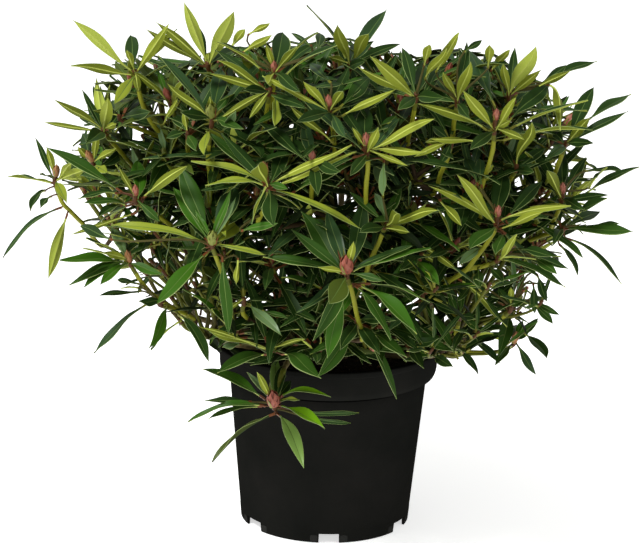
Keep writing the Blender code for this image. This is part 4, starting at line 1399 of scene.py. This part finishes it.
def build_pot():
    step_z = POT_H - LIP_H - BAND_H
    floor = FLOOR_Z + FLOOR_T
    # (radius, height, rounding)
    spec = [
        (0.0004, FLOOR_Z, 0), (0.030, FLOOR_Z, 0), (0.031, FLOOR_Z + 0.0006, 0.0004), (0.045, FLOOR_Z + 0.0006, 0.0004),
        (0.046, FLOOR_Z, 0.0004), (FOOT_R - RING_W - 0.0004, FLOOR_Z, 0.001), (FOOT_R - RING_W, 0.0, 0.0006),
        (FOOT_R, 0.0, 0.0010), (wall_r(0.0125) , 0.0125, 0), (wall_r(0.013) - 0.0002, 0.0135, 0.0003),
        (wall_r(0.10) - 0.0001, 0.10, 0), (wall_r(0.142), 0.142, 0), (wall_r(step_z - 0.0030), step_z - 0.0030, 0.0006), (WALL_TOP_R - 0.0009, step_z - 0.0010, 0.0006),
        (BAND_R - 0.0022, step_z + 0.0004, 0.0010), (BAND_R - 0.0002, step_z + 0.0055, 0.004),
        (BAND_R + 0.0006, POT_H - LIP_H - 0.0002, 0.0008), (LIP_R - 0.0004, POT_H - LIP_H + 0.0004, 0.0016),
        (LIP_R, POT_H - 0.0005, 0.0022), (LIP_R - 0.0030, POT_H, 0.0012), (LIP_R - LIP_W, POT_H - 0.0003, 0.0012),
        (BAND_R - WALL_T, POT_H - 0.006, 0.002), (BAND_R - WALL_T, step_z + 0.004, 0.002),
        (WALL_TOP_R - WALL_T, step_z, 0.002), (wall_r(0.10) - WALL_T, 0.10, 0),
        (wall_r(floor + 0.004) - WALL_T, floor + 0.004, 0), (wall_r(floor) - WALL_T - 0.003, floor, 0.002), (0.0004, floor, 0),
    ]
    profile = fillet([(r, z) for r, z, _ in spec], [f for _, _, f in spec])
    pts, quads = lathe_arrays(profile, 180)
    m = len(profile)
    # close the two pin holes on the axis
    tris = []
    for ring, flip in ((0, False), (m - 1, True)):
        ids = [k * m + ring for k in range(180)]
        for k in range(1, 179):
            tri = (ids[0], ids[k], ids[k + 1])
            tris.append(tri[::-1] if not flip else tri)
    # thin-walled pots are never quite round
    angle = np.arctan2(pts[:, 1], pts[:, 0])
    high = np.clip(pts[:, 2] / POT_H, 0, 1)
    rad = np.hypot(pts[:, 0], pts[:, 1])
    pts[:, :2] *= (1 + 0.0022 * (high * np.sin(2 * angle + 0.7) + 0.5 * high * np.sin(3 * angle + 2.0)) * (rad > 0.07))[:, None]
    pot = mesh_object("nursery_pot", pts, quads, [pot_material()], None, tris)
    cut_pts, cut_quads, at = [], [], 0
    for n in range(NOTCHES):
        a = math.radians(-90 + NOTCH_TURN + 360 / NOTCHES * n)
        c, s = math.cos(a), math.sin(a)
        x0, x1 = FOOT_R - RING_W - 0.0045, FOOT_R + 0.006
        half = NOTCH_W[n % 2] / 2
        box = [
            (x, y * (1.0 if z < 0 else 0.97), z)
            for z in (-0.004, NOTCH_H) for x, y in ((x0, -half), (x1, -half), (x1, half), (x0, half))
        ]
        cut_pts += [(x * c - y * s, x * s + y * c, z) for x, y, z in box]
        cut_quads += [tuple(at + i for i in f) for f in ((3, 2, 1, 0), (4, 5, 6, 7), (0, 1, 5, 4), (1, 2, 6, 5), (2, 3, 7, 6), (3, 0, 4, 7))]
        at += 8
        hole = [
            (DRAIN_PITCH_R * c + DRAIN_R * math.cos(t), DRAIN_PITCH_R * s + DRAIN_R * math.sin(t), z)
            for z in (0.004, 0.018) for t in (2 * math.pi * k / 24 for k in range(24))
        ]
        cut_pts += hole
        cut_quads += [(at + k, at + (k + 1) % 24, at + 24 + (k + 1) % 24, at + 24 + k) for k in range(24)]
        cut_quads += [tuple(at + 23 - k for k in range(24)), tuple(at + 24 + k for k in range(24))]
        at += 48
    mesh = bpy.data.meshes.new("cutter")
    mesh.from_pydata(cut_pts, [], cut_quads)
    mesh.update()
    cutter = bpy.data.objects.new("cutter", mesh)
    scene.collection.objects.link(cutter)
    cut = pot.modifiers.new("notches", "BOOLEAN")
    cut.object, cut.operation, cut.solver = cutter, "DIFFERENCE", "EXACT"
    bpy.context.view_layer.update()
    made = bpy.data.meshes.new_from_object(pot.evaluated_get(bpy.context.evaluated_depsgraph_get()))
    pot.modifiers.clear()
    old = pot.data
    pot.data = made
    bpy.data.meshes.remove(old)
    bpy.data.objects.remove(cutter, do_unlink=True)
    made.shade_smooth()
    made.set_sharp_from_angle(angle=math.radians(32))
    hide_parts("pot")
    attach(pot, "root")
    return pot


def build_pads():
    """The small thickened pads on the foot, one on each side of every notch."""
    pts, quads = [], []
    cols, levels = 7, 6
    for n in range(NOTCHES):
        for way in (-1, 1):
            mid = math.radians(-90 + NOTCH_TURN + 360 / NOTCHES * n) + way * (NOTCH_W[n % 2] / 2 + 0.0046) / FOOT_R
            at = len(pts)
            for proud in (-0.0008, 0.00055):
                for j in range(levels):
                    for i in range(cols):
                        x, y = 2 * i / (cols - 1) - 1, 2 * j / (levels - 1) - 1
                        edge = max(abs(x), abs(y))
                        pull = 1 - 0.12 * (x * x * y * y)
                        z = 0.0046 + y * pull * 0.0038
                        r = wall_r(z) + (proud if proud < 0 else proud * (1 - 0.8 * max(0, (edge - 0.6) / 0.4)))
                        a = mid + x * pull * 0.0040 / FOOT_R
                        pts.append((r * math.cos(a), r * math.sin(a), z))
            size = cols * levels
            for j in range(levels - 1):
                for i in range(cols - 1):
                    k = at + j * cols + i
                    quads.append((k + cols, k + cols + 1, k + 1, k))
                    quads.append((k + size, k + size + 1, k + size + cols + 1, k + size + cols))
            ring = list(range(cols)) + [j * cols + cols - 1 for j in range(1, levels)]
            ring += [(levels - 1) * cols + i for i in range(cols - 2, -1, -1)] + [j * cols for j in range(levels - 2, 0, -1)]
            for k, i in enumerate(ring):
                j = ring[(k + 1) % len(ring)]
                quads.append((at + i, at + j, at + size + j, at + size + i))
    pads = mesh_object("foot_pads", pts, quads, [plain("foot_pad", srgb(42, 42, 40), 0.85, 0.0)], None, [])
    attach(pads, "root")
    return pads


def hash_noise(p, scale, seed=0):
    """Smooth noise of points, from a few rotated waves, between -1 and 1."""
    rng = np.random.default_rng(seed)
    total = np.zeros(len(p))
    for k in range(9):
        d = rng.normal(size=3)
        d /= np.linalg.norm(d)
        total += np.sin(p @ d * scale * rng.uniform(0.6, 1.8) + rng.uniform(0, 6.28))
    return total / 4.5


def build_soil():
    """Loose compost over the CAD soil: a rough skin, crumbs, and chips of bark."""
    rng = np.random.default_rng(5)
    heap = Heap()
    rings, segments = 34, 96
    radii = np.linspace(0.0, BAND_R - WALL_T - 0.0022, rings)
    angles = 2 * np.pi * np.arange(segments) / segments
    pts = []
    for r in radii[1:]:
        pts.append(np.stack([r * np.cos(angles), r * np.sin(angles), np.zeros(segments)], 1))
    pts = np.concatenate(pts)
    rad = np.hypot(pts[:, 0], pts[:, 1])
    base = np.interp(rad, [0, 0.024, 0.035, 0.070, 0.11], [SOIL_TOP + SOIL_MOUND, SOIL_TOP + SOIL_MOUND, SOIL_TOP + SOIL_MOUND * 0.6, SOIL_TOP - 0.001, SOIL_TOP + 0.0005])
    rough = hash_noise(pts, 220, 1) * 0.0011 + hash_noise(pts, 620, 2) * 0.0008
    pts[:, 2] = base + 0.0014 + rough
    index = np.arange(len(pts)).reshape(rings - 1, segments)
    a, b = index[:-1], np.roll(index[:-1], -1, 1)
    c, d = np.roll(index[1:], -1, 1), index[1:]
    heap.add(pts, np.stack([a, d, c, b], -1).reshape(-1, 4), [0] * ((rings - 2) * segments))
    # crumbs
    phi = (1 + 5**0.5) / 2
    ico = np.array([(-1, phi, 0), (1, phi, 0), (-1, -phi, 0), (1, -phi, 0), (0, -1, phi), (0, 1, phi), (0, -1, -phi), (0, 1, -phi), (phi, 0, -1), (phi, 0, 1), (-phi, 0, -1), (-phi, 0, 1)]) / 1.9
    faces = np.array([(0, 11, 5), (0, 5, 1), (0, 1, 7), (0, 7, 10), (0, 10, 11), (1, 5, 9), (5, 11, 4), (11, 10, 2), (10, 7, 6), (7, 1, 8), (3, 9, 4), (3, 4, 2), (3, 2, 6), (3, 6, 8), (3, 8, 9), (4, 9, 5), (2, 4, 11), (6, 2, 10), (8, 6, 7), (9, 8, 1)])
    for k in range(760):
        r, t = math.sqrt(rng.uniform(0.03, 1)) * 0.1015, rng.uniform(0, 2 * math.pi)
        size = rng.uniform(0.0010, 0.0034)
        long = rng.uniform(0.7, 2.4) if k % 5 == 0 else rng.uniform(0.8, 1.3)
        shape = ico * (1 + 0.28 * rng.uniform(-1, 1, (12, 1))) * size * (long, 1.0, rng.uniform(0.35, 0.8))
        c, s = math.cos(t * 7), math.sin(t * 7)
        shape = shape @ np.array([(c, s, 0), (-s, c, 0), (0, 0, 1)])
        z = np.interp(r, [0, 0.024, 0.035, 0.070, 0.11], [SOIL_TOP + SOIL_MOUND, SOIL_TOP + SOIL_MOUND, SOIL_TOP + SOIL_MOUND * 0.6, SOIL_TOP - 0.001, SOIL_TOP + 0.0005])
        heap.add(shape + (r * math.cos(t), r * math.sin(t), z + 0.0018), np.zeros((0, 4), int), [], faces, [1 if k % 9 == 0 else 0] * 20)
    chip = bark_material("bark_chips", srgb(50, 34, 24), srgb(84, 60, 42), srgb(120, 92, 66), 300.0)
    skin = heap.build("compost_crumbs", [soil_material(), chip])
    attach(skin, "root")
    frame["nodes"]["soil"].data.materials.clear()
    frame["nodes"]["soil"].data.materials.append(bpy.data.materials["compost"])


def build_stem():
    low = SOIL_TOP + SOIL_MOUND + GAP
    count, sides = 44, 26
    heights = low + (STEM_TOP_Z - low) * np.linspace(0, 1, count)
    path, radii = [], []
    for z in heights:
        c = stem_centre(z)
        path.append(c)
        radii.append(stem_r(z) * 0.985)
    pts, quads, kinds, tris, tk = tube(path, radii, sides, 0)
    mid = np.array([tuple(stem_centre(z)) for z in pts[:, 2]])
    out = pts - mid
    angle = np.arctan2(out[:, 1], out[:, 0])
    ridge = 0.05 * np.sin(7 * angle + 30 * pts[:, 2]) + 0.05 * hash_noise(pts * (1, 1, 0.35), 420, 3) + 0.03 * np.sin(13 * angle - 55 * pts[:, 2])
    keep = np.linalg.norm(out[:, :2], axis=1) > 0.004
    pts[keep, :2] = mid[keep, :2] + out[keep, :2] * (1 + ridge[keep, None])
    stem = mesh_object("stem_bark", pts, quads, [bark_material("old_bark", srgb(58, 44, 32), srgb(96, 76, 54), srgb(132, 112, 84), 260.0)], np.concatenate([kinds, tk]), tris)
    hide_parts("stem")
    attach(stem, "root")


# ---------------------------------------------------------------------------------------------
# put together
# ---------------------------------------------------------------------------------------------
build_pot()
build_pads()
build_soil()
build_stem()
masses, leaves, shoots, bark, buds, whorls = build_plant()

limbs = bark.build("bough_bark", [bark_material("bough_bark", srgb(56, 44, 24), srgb(82, 70, 36), srgb(102, 94, 50), 240.0)])
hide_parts(*[f"bough_{m[0]}" for m in masses])
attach(limbs, "root")

twigs = shoots.build("shoots", SHOOT_SLOTS)
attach(twigs, "root")

tips = buds.build("buds", BUD_SLOTS)
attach(tips, "root")

# leaves, in pieces that each stand for some of the masses
MOST_LEAVES = 560
groups = {}
for n, (name, centre, _, _) in enumerate(masses):
    where = "front" if centre.y < 0 else "back"
    tier = name.split("_")[0]
    key = "skirt_front" if tier == "droop" else "crest" if tier == "crest" else f"{tier}_{where}"
    groups.setdefault(key, []).append(n)
total = 0
for key in sorted(groups):
    mine = [leaf for leaf in leaves if leaf["mass"] in groups[key]]
    parts = max(1, math.ceil(len(mine) / MOST_LEAVES))
    for part in range(parts):
        some = mine[part * len(mine) // parts : (part + 1) * len(mine) // parts]
        heap = Heap()
        for level in (0, 1, 2):
            same = [leaf for leaf in some if leaf["level"] == level]
            if same:
                heap.add(*leaf_sheets(same, level))
        piece = heap.build(f"leaves_{key}" + (f"_{part + 1}" if parts > 1 else ""), LEAF_SLOTS)
        total += len(piece.data.polygons) * 2
        if part == 0:
            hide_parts(*[f"foliage_{masses[n][0]}" for n in groups[key]])
        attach(piece, "root")
print("leaves", len(leaves), "whorls", len(whorls), "leaf triangles", total)

# ---------------------------------------------------------------------------------------------
# floor and light
# ---------------------------------------------------------------------------------------------
floor_mesh = bpy.data.meshes.new("floor")
floor_mesh.from_pydata([(-14, -14, 0), (14, -14, 0), (14, 14, 0), (-14, 14, 0)], [], [(0, 1, 2, 3)])
pale = plain("floor_pale", (0.92, 0.92, 0.92, 1), 0.9, 0.1)
pale.node_tree.nodes["Principled BSDF"].inputs["Emission Color"].default_value = (1, 1, 1, 1)
pale.node_tree.nodes["Principled BSDF"].inputs["Emission Strength"].default_value = 0.62
floor_mesh.materials.append(pale)
floor = bpy.data.objects.new("floor", floor_mesh)
scene.collection.objects.link(floor)
floor.location.z = -0.0002

world = bpy.data.worlds.new("studio")
scene.world = world
world.use_nodes = True
world.node_tree.nodes["Background"].inputs["Color"].default_value = (1.0, 1.0, 1.0, 1)
world.node_tree.nodes["Background"].inputs["Strength"].default_value = 0.52


def area(name, at, towards, size, power, color=(1, 1, 1)):
    data = bpy.data.lights.new(name, "AREA")
    data.shape, data.size, data.energy, data.color = "SQUARE", size, power, color
    light = bpy.data.objects.new(name, data)
    scene.collection.objects.link(light)
    light.location = at
    light.rotation_mode = "QUATERNION"
    light.rotation_quaternion = (Vector(towards) - Vector(at)).to_track_quat("-Z", "Y")
    return light


area("key", (-1.8, -1.5, 3.1), (0, 0, 0.3), 1.0, 138)
area("fill", (2.2, -1.6, 1.6), (0, 0, 0.3), 1.6, 9)
scene.view_settings.view_transform = "Standard"
scene.view_settings.look = "None"
